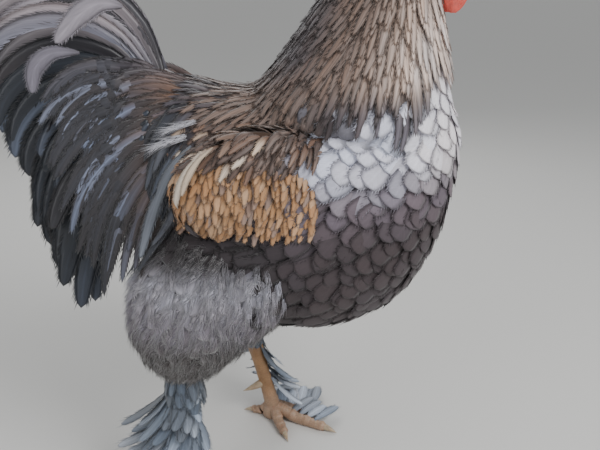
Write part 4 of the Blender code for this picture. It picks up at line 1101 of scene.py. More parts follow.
def covert_paint(quills, points, ts, across):
    to_slate = ramp(points[..., 0], -0.120, -0.190)
    brown = mix(np.broadcast_to(SADDLE_BROWN, points.shape), SADDLE_BRONZE,
                ramp(quills["tint"], 0.5, 0.9)[:, None])
    brown = mix(brown, linear("#8c7d80"), 0.6 * ramp(points[..., 2], 0.47, 0.50))
    colour = mix(brown, TAIL_SLATE, to_slate * 0.85)
    # sheen is a painted highlight: blue reflections of the gloss on some feathers towards the tail.
    sheen = ramp(quills["tint"], 0.6, 0.9)[:, None] * ramp(np.abs(across), 0.8, 0.1)[None, :] * to_slate
    colour = mix(colour, TAIL_BLUE_HIGHLIGHT, 0.55 * sheen)
    # The darkening at the root is painted shade under the feathers over it.
    light = 1 + 0.12 * ramp(np.abs(across), 0.5, 0.0) - 0.40 * ramp(ts, 0.20, 0.0)
    return colour * light[None, :, None] * low_shade(points) * soft_tint(quills, 0.15)


place = skin_surface.centres
covert_faces = (place[:, 0] < -0.100) & (place[:, 0] > -0.156) & (place[:, 2] > 0.405)
covert_faces &= (owners != "thigh") & (owners != "wing")
coverts = covert_lines(scatter(covert_faces, 0.0070, 71), random.Random(72))
pointed_vane = vane_shape(14, 0.45, 1.5, 0.10, barbs=50, loose=0.35, sweep=0.06, seed=15)
weave("tail_coverts", hang(coverts), pointed_vane, covert_paint, silky, "tail_feather")


def coat_side(x, z, side, clear):
    """The place at x and z that stands clear of the coat's outer side, and the way out there."""
    y, slope_x, slope_z = tail_out(x, z, COVERT_LAYER + 8, 1.05)
    out = Vector((-slope_x, side, -slope_z)).normalized()
    if x > RUMP.x:
        y = 0.0
    spot, normal, _, _ = skin_surface.tree.ray_cast(Vector((x, side * 0.3, z)), Vector((0, -side, 0)))
    if spot is not None and abs(spot.y) + clear > y:
        y, out = abs(spot.y) + clear, normal
    return Vector((x, side * y, z)), out


def loose_line(points, half, clear, side=-1):
    points = np.array(points)
    line = []
    for k in range(TAIL_STATIONS):
        x, z = through(points, k / (TAIL_STATIONS - 1))
        place, out = coat_side(x, z, side, clear)
        line.append([place, out, None, half])
    finish_line(line)
    return line


# x and z along each loose feather of the right side, half width and stand-off, from the photo
LOOSE_FEATHERS = {
    "curled_tail_covert": (((-0.166, 0.553), (-0.186, 0.556), (-0.208, 0.543), (-0.228, 0.521)), 0.0104,
                           0.0, "#8f8992"),
    "curled_lower_covert": (((-0.208, 0.512), (-0.232, 0.512), (-0.248, 0.498), (-0.252, 0.476)), 0.0084,
                            0.0, "#716d78"),
    "long_grey_plume": (((-0.104, 0.428), (-0.126, 0.402), (-0.147, 0.360), (-0.162, 0.312)), 0.0066,
                        0.0165, "#6d727c"),
    "cream_wing_edge": (((-0.092, 0.426), (-0.105, 0.410), (-0.114, 0.390), (-0.118, 0.370)), 0.0044,
                        0.0135, "#cfc2b2"),
    "cream_wing_streak": (((-0.080, 0.432), (-0.094, 0.420), (-0.104, 0.404), (-0.110, 0.388)), 0.0038,
                          0.0140, "#c6b39e"),
}
WISPS = (
    (((-0.100, 0.449), (-0.116, 0.445), (-0.132, 0.440), (-0.146, 0.434)), 0.0095),
    (((-0.108, 0.436), (-0.127, 0.431), (-0.146, 0.423), (-0.163, 0.412)), 0.0110),
)


def loose_paint(quills, points, ts, across):
    colours = np.array([linear(code) for _, _, _, code in LOOSE_FEATHERS.values()])
    colour = np.broadcast_to(colours[:, None, :], points.shape)
    # The darkening at the root is painted shade where the feather comes out from under the coat.
    light = 1 - 0.15 * ramp(np.abs(across), 0.5, 1.0) + 0.15 * ramp(np.abs(across), 0.14, 0.02) \
        - 0.45 * ramp(ts, 0.25, 0.0)
    return colour * light[None, :, None]


def wisp_paint(quills, points, ts, across):
    return np.broadcast_to(linear("#d3d2da"), points.shape) * (0.75 + 0.25 * ts)[None, :, None]


weave("loose_feathers", hang([loose_line(points, half, clear) for points, half, clear, _
                              in LOOSE_FEATHERS.values()]),
      vane_shape(20, 0.55, 1.7, 0.15, barbs=70, loose=0.3, sweep=0.05, seed=16), loose_paint, covert,
      "tail_feather")
weave("white_wisps", hang([loose_line(points, half, 0.017) for points, half in WISPS]),
      down_shape(70, 0.03, seed=17), wisp_paint, covert, "tail_feather")


# Fluff. Loose down hides the thighs, the vent and the belly between them in soft smoky balls:
# broad downy feathers below, and over them tufts of fine strands.
def fluff_heading(p):
    return ways(p, -0.35, 0.0, -1.0)


def fluff_paint(quills, points, ts, across):
    colour = thigh_colour(points)
    # Tufts rooted high, under the wing and the tail, take the flank's dark with painted shade.
    rear = ramp(quills["root"][:, 2], 0.33, 0.40)[:, None]
    colour = mix(colour, FLANK_DARK_AND_SHADE, rear)
    light = 0.98 + 0.26 * ts
    return colour * light[None, :, None] * soft_tint(quills, 0.06)


def under_paint(quills, points, ts, across):
    """The broad feathers below lie in the shade of the tufts."""
    return 0.80 * fluff_paint(quills, points, ts, across)


downy = feather_material("keratin_down", 0.85, specular=0.25, sheen=0.5, streak=0.10, shaft=0.0,
                         across=3.0, along=3.0)
thigh_faces = owners == "thigh"
fluff_faces = thigh_faces | (trunk_faces & rear_zone)
under_quills = lay(scatter(fluff_faces, 0.0120, 41), 0.040, 0.0140, 0.0050, fluff_heading, seed=42,
                   stray=0.2)
weave("fluff_under", under_quills, vane_shape(8, 0.6, 2.2, 0.5, barbs=24, loose=0.25, seed=9), under_paint,
      downy, "fluff", "thigh_right", "thigh_left")
tuft = down_shape(30, seed=3)
for name, side in (("right", -1), ("left", 1)):
    mine = fluff_faces & (place[:, 1] * side > 0)
    roots = scatter(mine, 0.0066, 43 + side)
    tufts = lay(roots, 0.036, 0.0080, 0.0105, fluff_heading, seed=46 + side, stray=0.30)
    weave("fluff_" + name, tufts, tuft, fluff_paint, downy, "fluff")


# Legs. Orange-yellow shanks and toes in overlapping horny scutes, with the foot flat on the floor,
# and blue-grey feathers down their outer side and over the outer toes.
LEGS = {
    # hock x and z, foot x, toe-in in degrees, length of the toe feathers
    -1: (-0.130, 0.166, -0.118, 2, 0.050),
    1: (-0.070, 0.139, -0.038, 26, 0.068),
}
FOOT_Y = 0.076
SHANK_RADIUS = 0.0098
SHANK_SWELL = (1.45, 1.30, 1.08, 0.96, 0.92, 0.94, 1.00, 1.12)
SHANK_RINGS = 76
SCUTES = 15
PAD = ((0.0, 0.0100), (0.0004, 0.0118), (0.0030, 0.0143), (0.0080, 0.0147), (0.0130, 0.0140),
       (0.0190, 0.0115), (0.0220, 0.0100))
TOES = {
    # angle from the middle toe, outwards negative, length, radius at the root and at the tip
    "inner": (44, 0.050, 0.0076, 0.0052), "middle": (0, 0.080, 0.0086, 0.0056),
    "outer": (-36, 0.058, 0.0076, 0.0052), "hind": (168, 0.030, 0.0066, 0.0048),
}
CLAW_LENGTH = {"inner": 0.015, "middle": 0.018, "outer": 0.015, "hind": 0.014}
TOE_SCUTE = 0.0042
SCALE_YELLOW = linear("#a8835e")
SCALE_BUFF = linear("#b5977f")
LEG_BLUE = linear("#8d97a6")
LEG_PALE = linear("#bcc2cc")
LEG_DARK = linear("#454e5a")


def tube(bm, path, radii, sides=20, flat=None, scutes=None):
    """A round, closed body along a path. flat keeps it above a height. scutes(k, angle) gives how
    far the skin stands out, in metres, at each ring and angle, 0 up or forward."""
    rows = []
    for k, (p, r) in enumerate(zip(path, radii)):
        way = (path[min(k + 1, len(path) - 1)] - path[max(k - 1, 0)]).normalized()
        up = Vector((1, 0, 0)) if abs(way.z) > 0.8 else Vector((0, 0, 1))
        side_way = way.cross(up).normalized()
        up = side_way.cross(way).normalized()
        row = []
        for j in range(sides):
            angle = 2 * math.pi * j / sides
            reach = r + (scutes(k, angle) if scutes else 0.0)
            q = p + up * math.cos(angle) * reach + side_way * math.sin(angle) * reach
            if flat is not None:
                q.z = max(q.z, flat)
            row.append(q)
        rows.append(row)
    grow(bm, rows)


def shank_line(side):
    hock_x, hock_z, foot_x, _, _ = LEGS[side]
    return Vector((hock_x, side * 0.073, hock_z + 0.014)), Vector((foot_x, side * FOOT_Y, 0.016))


def toe_heading(side, toe):
    angle = math.radians(LEGS[side][3] + TOES[toe][0])
    return Vector((math.cos(angle), -side * math.sin(angle), 0))


def overlap(t, count, deep, angle, half=1.9):
    """How far overlapping scutes stand out at t: each rises towards its lower edge, then drops
    back. They cover the front, and turn to low knobs behind."""
    phase = (t * count) % 1.0
    front = max(math.cos(angle / half), 0.0) if abs(angle) < math.pi else 0.0
    return deep * front * (phase ** 1.5 - 0.4)


def shank_and_foot(side, name):
    bm = bmesh.new()
    top, foot = shank_line(side)
    path = [top.lerp(foot, k / (SHANK_RINGS - 1)) for k in range(SHANK_RINGS)]
    radii = [SHANK_RADIUS * through(SHANK_SWELL, k / (SHANK_RINGS - 1)) for k in range(SHANK_RINGS)]

    def on_shank(k, angle):
        turned = (angle + math.pi) % (2 * math.pi) - math.pi
        t = k / (SHANK_RINGS - 1)
        knobs = 0.00022 * math.sin(9 * turned) * math.sin(t * 95 + turned * 2) * (abs(turned) > 1.6)
        return overlap(t, SCUTES, 0.0009, turned) + knobs

    tube(bm, path, radii, 28, scutes=on_shank)
    shank = piece_from("shank_" + name, bm)
    bm = bmesh.new()
    turns = [2 * math.pi * j / 28 for j in range(28)]
    grow(bm, [[Vector((foot.x + math.cos(turn) * r, foot.y + math.sin(turn) * r, z)) for turn in turns]
              for z, r in PAD])
    for toe, (_, length, thick, thin) in TOES.items():
        heading = toe_heading(side, toe)
        count = max(int(length / 0.0011), 24)
        path, radii = [], []
        for k in range(count):
            t = k / (count - 1)
            joint = 0.0008 * max(math.cos(t * 3.2 * 2 * math.pi), 0.0) ** 3
            radius = thick + (thin - thick) * t + joint
            fall = min(t / 0.45, 1.0)
            height = 0.0150 - (0.0150 - 0.92 * radius) * fall * fall * (3 - 2 * fall)
            path.append(Vector((foot.x, foot.y, 0)) + heading * (0.007 + (length - 0.007) * t)
                        + Vector((0, 0, height)))
            radii.append(radius * (1.0 if t < 0.96 else 0.9))

        def on_toe(k, angle, count=count, length=length):
            turned = (angle + math.pi) % (2 * math.pi) - math.pi
            return overlap(k / (count - 1), length / TOE_SCUTE, 0.0007, turned, 1.5)

        tube(bm, path, radii, 20, flat=0.0, scutes=on_toe)
    return shank, piece_from("foot_" + name, bm)


def scale_material():
    """Horny scutes: smooth and slightly waxy, yellower on the shank, darker in the gaps."""
    material, tree, shader = fresh_material("scaled_leg_skin", 0.42, specular=0.5, subsurface=0.08)
    place = add(tree, "TexCoord")
    cells = add(tree, "TexVoronoi", {"Vector": place.outputs["Object"], "Scale": 330.0},
                feature="DISTANCE_TO_EDGE")
    gap = add(tree, "MapRange", {"Value": cells.outputs["Distance"], "From Max": 0.10, "To Min": 0.72})
    spots = add(tree, "TexNoise", {"Vector": place.outputs["Object"], "Scale": 70.0, "Detail": 3.0})
    height = add(tree, "SeparateXYZ", {0: place.outputs["Object"]})
    up = add(tree, "MapRange", {"Value": height.outputs["Z"], "From Min": 0.018, "From Max": 0.055})
    base = blend(tree, up.outputs["Result"], SCALE_BUFF, SCALE_YELLOW)
    soil = blend(tree, spots.outputs["Fac"], (0.55, 0.50, 0.48), (1.3, 1.3, 1.3))
    toned = blend(tree, 1.0, base, soil, blend_type="MULTIPLY")
    finish_look(tree, shader, dim(tree, toned, gap.outputs["Result"]), gap.outputs["Result"], 0.5, 0.0006)
    return material


scaled = scale_material()
for side, name in ((-1, "right"), (1, "left")):
    for piece, node in zip(shank_and_foot(side, name), ("shank_", "foot_")):
        dress(piece, scaled, "leg_scale", node + name)


# Claws and spurs. Pale horn, curved, tapering to worn points.
def horn_material():
    """Horn: hard and satin, mottled between brown and pale by a fine grain."""
    material, tree, shader = fresh_material("horn", 0.32, specular=0.5, subsurface=0.1)
    place = add(tree, "TexCoord")
    grain = add(tree, "TexNoise", {"Vector": place.outputs["Object"], "Scale": 260.0, "Detail": 2.0})
    colour = blend(tree, grain.outputs["Fac"], linear("#8d745c"), linear("#cdbb9f"))
    finish_look(tree, shader, colour, grain.outputs["Fac"], 0.2, 0.0003)
    return material


horn = horn_material()


def claw(name, start, heading, length, radius, drop):
    count = 14
    shares = [k / (count - 1) for k in range(count)]
    path = [start + heading * length * t + Vector((0, 0, -drop * t * t)) for t in shares]
    bm = bmesh.new()
    tube(bm, path, [max(radius * (1 - t ** 1.7), radius * 0.07) for t in shares], 14, flat=0.0004)
    dress(piece_from(name, bm), horn, "horn", name)


for side, name in ((-1, "right"), (1, "left")):
    top, foot = shank_line(side)
    for toe, (_, length, thick, thin) in TOES.items():
        heading = toe_heading(side, toe)
        start = Vector((foot.x, foot.y, 0.92 * thin + 0.0006)) + heading * (length - 0.0035)
        claw(f"claw_{toe}_{name}", start, heading, CLAW_LENGTH[toe] + 0.003, thin * 0.80, 0.0042)
    spur_way = Vector((-0.86, -side * 0.42, -0.28)).normalized()
    claw("spur_" + name, top.lerp(foot, 0.70) + spur_way * 0.006, spur_way, 0.0290, 0.0056, -0.003)


# Leg feathers. Stiff and broad, in a fan from the outer side of each shank down to the floor, which
# runs back on the right leg and outwards and forward on the left one.
SHANK_COLUMNS = (
    # swing from straight out, backwards positive, its fall at the root and at the tip, length, half width
    (-38, 1.05, 0.95, 0.048, 0.0080), (-12, 1.00, 0.85, 0.055, 0.0088), (14, 0.95, 0.80, 0.064, 0.0096),
    (38, 0.85, 0.70, 0.078, 0.0102), (62, 0.85, 0.70, 0.092, 0.0106), (84, 0.74, 0.58, 0.104, 0.0110),
    (100, 0.66, 0.52, 0.108, 0.0112),
)
SHANK_ROOTS = (0.14, 0.27, 0.40, 0.53, 0.66, 0.79)
LEG_STATIONS = 7
FORWARD_SWING = {-1: 0, 1: 52}     # degrees that each leg's fan is turned forward
# On the left leg: below which swing a column is drawn out or cut back. None grow past the last.
LEFT_LENGTHS = ((30, 1.35), (50, 0.75), (80, 0.55))
# Short feathers all round the top of the shank, which close the gap under the fluff
HOCK_RING = ((0.00, 11), (0.06, 11), (0.12, 10))
HOCK_FEATHER = {-1: (0.040, 0.0078), 1: (0.021, 0.0066)}


def sagging_line(start, heading, sag, length, half, out):
    """A free feather that leaves start along heading and turns towards sag."""
    steps = 24
    points, at = [start.copy()], start.copy()
    for i in range(steps):
        share = ((i + 0.5) / steps) ** 1.2
        at = at + (heading * (1 - share) + sag * share).normalized() * (length / steps)
        points.append(at.copy())
    picked = [points[round(steps * k / (LEG_STATIONS - 1))] for k in range(LEG_STATIONS)]
    line = []
    for k, p in enumerate(picked):
        way = (picked[min(k + 1, len(picked) - 1)] - picked[max(k - 1, 0)]).normalized()
        across = way.cross(out).normalized()
        p = Vector((p.x, p.y, max(p.z, 0.0022)))
        line.append((p, across.cross(way).normalized(), across, half))
    return line


def leg_heading(side, swing, fall):
    turn = math.radians(swing)
    flat = Vector((-math.sin(turn), side * math.cos(turn), 0))
    return (flat * math.cos(fall) + Vector((0, 0, -math.sin(fall)))).normalized()


def leg_feather_lines(side, draw):
    top, foot = shank_line(side)
    lines = []
    for row, share in enumerate(SHANK_ROOTS):
        for swing, fall, droop, length, half in SHANK_COLUMNS[2 if row > 4 else 0:]:
            turned = swing - FORWARD_SWING[side] + draw.uniform(-7, 7) + 10 * (row % 2)
            outwards = leg_heading(side, turned, 0.0)
            low = fall * (1.45 - share) + draw.uniform(-0.14, 0.14)
            if side > 0:
                stretches = [stretch for limit, stretch in LEFT_LENGTHS if swing < limit]
                if not stretches:
                    continue
                length *= stretches[0]
            lines.append(sagging_line(
                top.lerp(foot, share) + outwards * (SHANK_RADIUS - 0.001), leg_heading(side, turned, low),
                leg_heading(side, turned + 8, droop * (1.15 - share) + draw.uniform(-0.15, 0.15)),
                length * draw.uniform(0.72, 1.04), half * draw.uniform(0.75, 1.1),
                (outwards + Vector((0, 0, 0.35))).normalized()))
    long, half = HOCK_FEATHER[side]
    for row, (share, count) in enumerate(HOCK_RING):
        for i in range(count):
            swing = 360 * (i + 0.5 * (row % 2)) / count + draw.uniform(-8, 8)
            outwards = leg_heading(side, swing, 0.0)
            lines.append(sagging_line(
                top.lerp(foot, share) + outwards * (SHANK_RADIUS * 1.3 - 0.002),
                leg_heading(side, swing, 1.10), leg_heading(side, swing, 1.50),
                long * draw.uniform(0.85, 1.1), half * draw.uniform(0.9, 1.1), outwards))
    for toe, count, first, last in (("outer", 9, 0.10, 0.95), ("middle", 4, 0.35, 0.80)):
        heading = toe_heading(side, toe)
        outwards = Vector((-heading.y * side, heading.x * side, 0))
        if outwards.y * side < 0:
            outwards = -outwards
        for i in range(count):
            t = first + (last - first) * i / (count - 1)
            root = Vector((foot.x, foot.y, 0)) + heading * TOES[toe][1] * t
            root.z = 0.0080 + (0.0035 if toe == "middle" else 0.0)
            aim = (outwards + heading * (0.1 + 0.5 * t)).normalized()
            aim = (aim + Vector((0, 0, draw.uniform(0.08, 0.26)))).normalized()
            rest = (outwards * 0.9 + heading * 0.2 + Vector((0, 0, -0.22))).normalized()
            length = LEGS[side][4] * (1 - 0.2 * t) * draw.uniform(0.75, 1.05)
            if toe == "middle":
                length *= 0.8
            lines.append(sagging_line(root, aim, rest, length, 0.0085 * draw.uniform(0.8, 1.1),
                                      Vector((0, 0, 1))))
    return lines


def leg_paint(quills, points, ts, across):
    tint = quills["tint"][:, None]
    colour = mix(np.broadcast_to(LEG_BLUE, points.shape), LEG_PALE,
                 ramp(tint, 0.4, 0.9) * (0.25 + 0.55 * ramp(points[..., 2], 0.09, 0.03)))
    colour = mix(colour, LEG_DARK, 0.85 * ramp(points[..., 2], 0.03, 0.12) * ramp(tint, 1.25, 0.5))
    light = 1 + 0.10 * ramp(np.abs(across), 0.4, 0.0) - 0.25 * ramp(ts, 0.3, 0.0) \
        + 0.10 * ramp(ts, 0.7, 1.0)
    return colour * light[None, :, None] * soft_tint(quills, 0.12)


draw = random.Random(51)
leg_lines = leg_feather_lines(-1, draw) + leg_feather_lines(1, draw)
leg_vane = feather_material("keratin_leg_vane", 0.55, sheen=0.2, streak=0.16, shaft=0.22)
weave("leg_feathers", hang(leg_lines), vane_shape(14, 0.55, 1.9, 0.30, barbs=32, loose=0.22, seed=10),
      leg_paint, leg_vane, "leg_feather")


# Head. Bare red skin over a short broad skull, with a heavy brow, lids round the eye, and small
# feathers on crown and cheek. The photo cuts it off, so it follows the breed.
SKULL = (
    (0.090, 0.641, 0.625, 0.008), (0.096, 0.650, 0.612, 0.0165), (0.108, 0.6565, 0.603, 0.0212),
    (0.124, 0.6585, 0.599, 0.0225), (0.140, 0.6550, 0.600, 0.0205), (0.152, 0.6480, 0.602, 0.0165),
    (0.162, 0.6390, 0.604, 0.0125), (0.168, 0.6310, 0.607, 0.0088),
)
EYE = Vector((0.1430, 0.0185, 0.6300))
EYE_RADIUS = 0.0066
FACE_RED = linear("#c03328")
FACE_PALE = linear("#d9705f")


def face_lumps(side):
    """Places, radii and turns of the soft forms round one eye."""
    eye = Vector((EYE.x, side * EYE.y, EYE.z))
    yield eye + Vector((0.001, 0, 0.0078)), (0.0125, 0.0052, 0.0038), 12
    yield eye + Vector((-0.002, -side * 0.004, -0.012)), (0.016, 0.0075, 0.011), 0
    yield eye + Vector((0.012, -side * 0.005, -0.004)), (0.008, 0.005, 0.006), -25
    yield eye + Vector((-0.014, -side * 0.001, 0.001)), (0.008, 0.005, 0.008), 0


bm = bmesh.new()
grow(bm, body_rows(upright(SKULL), 28, 32, 0.0006, 2.2))
for side in (-1, 1):
    for centre, radii, turn in face_lumps(side):
        lump(bm, centre, radii, turn=(math.radians(turn), 0.0))
head = piece_from("head_skin", bm, settled=False)
fuse(head, 0.0010, 3)


def carve_lids(obj):
    """Opens an almond gap for each eye and rolls its rim into two lids, in the mesh itself."""
    for v in obj.data.vertices:
        side = 1 if v.co.y > 0 else -1
        along, up = v.co.x - EYE.x, v.co.z - EYE.z
        turned = up - 0.12 * along
        reach = math.hypot(along / 1.18, turned)
        if abs(v.co.y) < 0.010 or reach > 0.0125:
            continue
        socket = side * (EYE.y + 0.0004)
        wall = min(max((reach - 0.0046) / 0.0016, 0.0), 1.0)
        rim = math.exp(-((reach - 0.0064) / 0.0011) ** 2)
        fold = math.exp(-((reach - 0.0093) / 0.0009) ** 2)
        lid_y = side * (EYE.y + math.sqrt(max(0.0073 ** 2 - min(reach, 0.0072) ** 2, 0.0)))
        if reach < 0.0064:
            v.co.y = (lid_y if reach > 0.0052 else socket - side * 0.004)
        v.co.y += side * (0.0007 * rim - 0.0006 * fold) * wall


carve_lids(head)
unwrap(head)


def bare_skin_material(name, colour, pale, grain_mm, bumpy):
    """Bare skin full of blood: moist, softly glowing, and finely pebbled with small folds."""
    material, tree, shader = fresh_material(name, 0.44, specular=0.5, subsurface=0.25)
    shader.inputs["Subsurface Radius"].default_value = (1.0, 0.25, 0.15)
    place = add(tree, "TexCoord")
    pebbles = add(tree, "TexVoronoi", {"Vector": place.outputs["Object"], "Scale": 1000.0 / grain_mm,
                                       "Randomness": 1.0}, feature="SMOOTH_F1")
    folds = add(tree, "TexNoise", {"Vector": place.outputs["Object"], "Scale": 190.0, "Detail": 4.0})
    share = calc(tree, "MULTIPLY", pebbles.outputs["Distance"], folds.outputs["Fac"])
    base = blend(tree, share, pale, colour)
    # painted shade: the skin darkens in the hollows of the folds
    deep = add(tree, "MapRange", {"Value": folds.outputs["Fac"], "From Min": 0.3, "From Max": 0.6,
                                  "To Min": 0.72})
    height = calc(tree, "MULTIPLY_ADD", folds.outputs["Fac"], 1.2, share)
    finish_look(tree, shader, dim(tree, base, deep.outputs["Result"]), height, bumpy, 0.0008)
    return material


face_skin = bare_skin_material("bare_face_skin", FACE_RED, FACE_PALE, 1.1, 0.5)
head_surface = Surface(head)
head.data.transform(Matrix.Translation((AHEAD, 0, 0)))
dress(head, face_skin, "red_skin", "head")


# Beak. Short, strong and curved, yellow horn with a dark stripe, nostrils under a horny flap and
# the gape running back below the eye.
BEAK_UPPER = (
    (0.158, 0.6330, 0.6130, 0.0102), (0.167, 0.6305, 0.6128, 0.0094), (0.176, 0.6265, 0.6120, 0.0080),
    (0.185, 0.6205, 0.6098, 0.0058), (0.191, 0.6135, 0.6055, 0.0034), (0.1935, 0.6065, 0.6030, 0.0012),
)
BEAK_LOWER = (
    (0.158, 0.6122, 0.6035, 0.0086), (0.167, 0.6119, 0.6035, 0.0078), (0.176, 0.6110, 0.6042, 0.0062),
    (0.184, 0.6088, 0.6046, 0.0040), (0.1880, 0.6066, 0.6044, 0.0018),
)
NOSTRIL = Vector((0.1700, 0.0081, 0.6215))


def beak_material():
    """Beak horn: satin yellow with a dark brown ridge, grown in faint lengthwise layers."""
    material, tree, shader = fresh_material("beak_horn", 0.30, specular=0.5, coat=0.1, subsurface=0.08)
    place = add(tree, "TexCoord")
    split = add(tree, "SeparateXYZ", {0: place.outputs["Object"]})
    ridge = add(tree, "MapRange", {"Value": split.outputs["Z"], "From Min": 0.617, "From Max": 0.628})
    grain = add(tree, "TexNoise", {"Vector": place.outputs["Object"], "Scale": 240.0, "Detail": 3.0})
    wander = calc(tree, "MULTIPLY", ridge.outputs["Result"], grain.outputs["Fac"])
    colour = blend(tree, wander, linear("#c9a35c"), linear("#4c3a2a"))
    finish_look(tree, shader, colour, grain.outputs["Fac"], 0.15, 0.0003)
    return material


def beak_piece(name, rings, nostrils):
    bm = bmesh.new()
    grow(bm, body_rows(upright(rings), 36, 40, 0.0, 2.0))
    if nostrils:
        for v in bm.verts:
            along, up = v.co.x - NOSTRIL.x, v.co.z - NOSTRIL.z + 0.35 * (v.co.x - NOSTRIL.x)
            reach = math.hypot(along / 0.0036, up / 0.0016)
            side = 1 if v.co.y > 0 else -1
            v.co.y -= side * 0.0016 * math.exp(-reach ** 2)
            flap = math.hypot(along / 0.0048, (up - 0.0024) / 0.0016)
            v.co.y += side * 0.0007 * math.exp(-flap ** 2)
    dress(piece_from(name, bm), beak_horn, "horn", name)


beak_horn = beak_material()
beak_piece("beak_upper", BEAK_UPPER, True)
beak_piece("beak_lower", BEAK_LOWER, False)


# Comb, wattles and earlobes. A low pea comb of three rows of blunt points, two hanging wattles and
# a lobe behind each ear, all of one thick, finely pebbled red skin.
COMB_SECTION = ((-1.0, 0.0), (-1.05, 0.25), (-1.0, 0.50), (-0.82, 0.64), (-0.62, 0.66), (-0.42, 0.52),
                (-0.32, 0.45), (-0.16, 0.74), (0.0, 1.0), (0.16, 0.74), (0.32, 0.45), (0.42, 0.52),
                (0.62, 0.66), (0.82, 0.64), (1.0, 0.50), (1.05, 0.25), (1.0, 0.0), (0.0, -0.2))
COMB_X = (0.1350, 0.1680)
COMB_WIDTH = 0.0085
COMB_HEIGHT = 0.0125
COMB_POINTS = 5
WATTLE = (
    # middle x, y and z, half length, half thickness
    (0.1600, 0.0075, 0.6050, 0.0070, 0.0030), (0.1600, 0.0088, 0.5960, 0.0105, 0.0036),
    (0.1590, 0.0100, 0.5850, 0.0135, 0.0030), (0.1575, 0.0112, 0.5730, 0.0145, 0.0027),
    (0.1560, 0.0118, 0.5610, 0.0125, 0.0026), (0.1548, 0.0118, 0.5510, 0.0080, 0.0024),
    (0.1540, 0.0116, 0.5460, 0.0030, 0.0014),
)
EARLOBE = (
    (0.1240, 0.0190, 0.6160, 0.0040, 0.0026), (0.1235, 0.0212, 0.6080, 0.0066, 0.0036),
    (0.1225, 0.0232, 0.5980, 0.0074, 0.0034), (0.1215, 0.0245, 0.5880, 0.0062, 0.0030),
    (0.1210, 0.0250, 0.5815, 0.0026, 0.0018),
)
comb_skin = bare_skin_material("bare_comb_skin", linear("#cc2f28"), linear("#e2685a"), 0.8, 0.7)


def crown_height(x):
    xs = [ring[0] for ring in SKULL] + [BEAK_UPPER[2][0]]
    zs = [ring[1] for ring in SKULL] + [BEAK_UPPER[2][1]]
    return float(np.interp(x, xs, zs))


def red_piece(name, bm):
    dress(piece_from(name, bm), comb_skin, "red_skin", name)


bm = bmesh.new()
rows = []
for i in range(45):
    share = i / 44
    x = COMB_X[0] + (COMB_X[1] - COMB_X[0]) * share
    swell = math.sin(math.pi * (share * 0.94 + 0.03))
    bead = 0.5 - 0.5 * math.cos(2 * math.pi * COMB_POINTS * share)
    row = []
    for y, h in COMB_SECTION:
        tall = COMB_HEIGHT * swell ** 0.5 * (0.78 + 0.22 * bead)
        wide = COMB_WIDTH * swell ** 0.4 * (0.90 + 0.10 * bead)
        row.append(Vector((x, y * wide, crown_height(x) - 0.002 + h * tall)))
    rows.append(row)
grow(bm, rows)
red_piece("comb", bm)


def hanging_rows(rings, side, folds):
    """Rings of a hanging flap of skin, with shallow upright folds."""
    rows = body_rows([(x + half, z, x - half, z, thick, side * y) for x, y, z, half, thick in rings],
                     30, 36, 0.0, 2.0)
    for i, row in enumerate(rows):
        t = i / (len(rows) - 1)
        for p in row:
            p.y += folds * math.sin(math.pi * t) * math.sin(p.x * 620 + 3 * t * side)
    return rows


for side, name in ((-1, "right"), (1, "left")):
    bm = bmesh.new()
    grow(bm, hanging_rows(WATTLE, side, 0.0006))
    red_piece("wattle_" + name, bm)
    bm = bmesh.new()
    grow(bm, hanging_rows(EARLOBE, side, 0.0004))
    red_piece("earlobe_" + name, bm)


# Eyes. A round bay-orange iris with a black pupil under a clear wet surface, set in the lids.
PUPIL_EDGE = (0.0019, 0.0022)      # from the middle of the eye, where black turns to bay
IRIS_EDGE = (0.0042, 0.0048)       # and bay to the dark rim


def eye_material():
    """The eye: a clear wet coat over a bay iris with fine spokes, a black pupil and a dark rim."""
    material, tree, shader = fresh_material("wet_eye", 0.12, specular=0.6, coat=1.0)
    place = add(tree, "TexCoord")
    split = add(tree, "SeparateXYZ", {0: place.outputs["Object"]})
    flat = add(tree, "CombineXYZ", {0: calc(tree, "SUBTRACT", split.outputs["X"], EYE.x + AHEAD),
                                    1: calc(tree, "SUBTRACT", split.outputs["Z"], EYE.z)})
    reach = add(tree, "VectorMath", {0: flat.outputs[0]}, operation="LENGTH")
    spokes = add(tree, "TexNoise", {"Vector": place.outputs["Object"], "Scale": 900.0, "Detail": 2.0})
    iris = blend(tree, spokes.outputs["Fac"], linear("#8a3d12"), linear("#e08a35"))
    in_pupil, in_rim = (add(tree, "MapRange", {"Value": reach.outputs["Value"], "From Min": inner,
                                               "From Max": outer}).outputs["Result"]
                        for inner, outer in (PUPIL_EDGE, IRIS_EDGE))
    with_pupil = blend(tree, in_pupil, (0.004, 0.004, 0.005), iris)
    tree.links.new(blend(tree, in_rim, with_pupil, linear("#2a1a16")), shader.inputs["Base Color"])
    return material


wet_eye = eye_material()
for side, name in ((-1, "right"), (1, "left")):
    bm = bmesh.new()
    lump(bm, Vector((EYE.x, side * EYE.y, EYE.z)), (EYE_RADIUS,) * 3, 32, 20)
    dress(piece_from("eye_" + name, bm), wet_eye, "eye", "eye_" + name)


# Head feathers. Short and fine, from the crown behind the comb back into the hackle, and a tuft
# over the ear.
def crown_heading(p):
    way = p - np.array([0.175, 0.0, 0.632])
    way[:, 2] -= 0.02
    return way


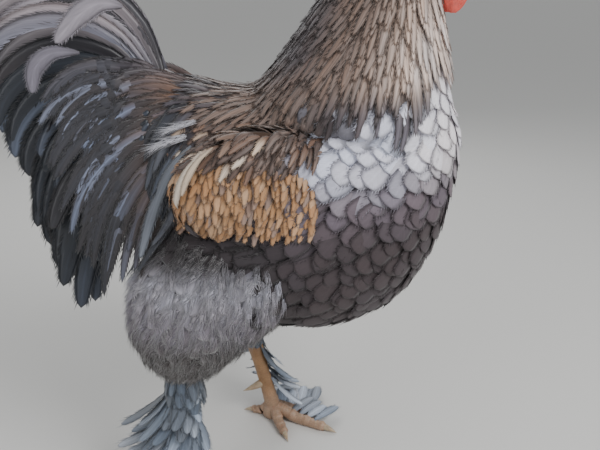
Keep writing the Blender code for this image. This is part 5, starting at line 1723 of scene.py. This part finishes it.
place = head_surface.centres
crown = (place[:, 2] > 0.640) & (place[:, 0] < 0.140) | (place[:, 0] < 0.116)
cheek = (place[:, 2] < 0.609) & (place[:, 0] < 0.140) & (np.abs(place[:, 1]) < 0.020)
crown_roots = scatter(crown | cheek, 0.0030, 61, surface=head_surface)
crown_quills = lay(crown_roots, 0.0125, 0.0020, 0.0018, crown_heading, seed=62, stray=0.12, sunk=0.0006,
                   surface=head_surface)
crown_vane = vane_shape(6, 0.5, 1.5, 0.55, barbs=8, loose=0.3, thick=0.00015, seed=12)
weave("head_feathers", crown_quills, crown_vane, hackle_paint, silky, "hackle_feather")


# The floor, the light and the camera.
CAMERA_LENS = 39.0
CAMERA_PITCH = math.radians(20)
CAMERA_DISTANCE = 0.745
CAMERA_TARGET = Vector((AHEAD, 0.0, 0.3143))

floor_mesh = bmesh.new()
bmesh.ops.create_grid(floor_mesh, x_segments=1, y_segments=1, size=80.0)
floor = piece_from("floor", floor_mesh)
floor_paint, _, floor_shader = fresh_material("studio_floor", 0.9, specular=0.2)
floor_shader.inputs["Base Color"].default_value = (*linear("#d9d8d5"), 1)
floor.data.materials.append(floor_paint)

world = bpy.data.worlds.new("studio")
world.use_nodes = True
world.node_tree.nodes["Background"].inputs["Color"].default_value = (*linear("#eef0f2"), 1)
world.node_tree.nodes["Background"].inputs["Strength"].default_value = 0.55
bpy.context.scene.world = world


def soft_light(name, place, power, size):
    data = bpy.data.lights.new(name, "AREA")
    data.energy, data.size = power, size
    lamp = bpy.data.objects.new(name, data)
    lamp.location = place
    lamp.rotation_euler = (Vector((0, 0, 0.35)) - Vector(place)).to_track_quat("-Z", "Y").to_euler()
    bpy.context.scene.collection.objects.link(lamp)


soft_light("key", (1.1, -1.0, 1.5), 26.0, 0.9)
soft_light("fill", (-1.3, -1.2, 1.1), 9.0, 1.4)
soft_light("rim", (-0.2, 1.5, 1.4), 10.0, 1.2)

camera = bpy.data.objects.new("camera", bpy.data.cameras.new("camera"))
camera.data.lens = CAMERA_LENS
camera.data.sensor_width = 36.0
camera.data.clip_start = 0.01
back = Vector((0, -math.cos(CAMERA_PITCH), math.sin(CAMERA_PITCH)))
camera.location = CAMERA_TARGET + back * CAMERA_DISTANCE
camera.rotation_euler = (-back).to_track_quat("-Z", "Y").to_euler()
bpy.context.scene.collection.objects.link(camera)
bpy.context.scene.camera = camera
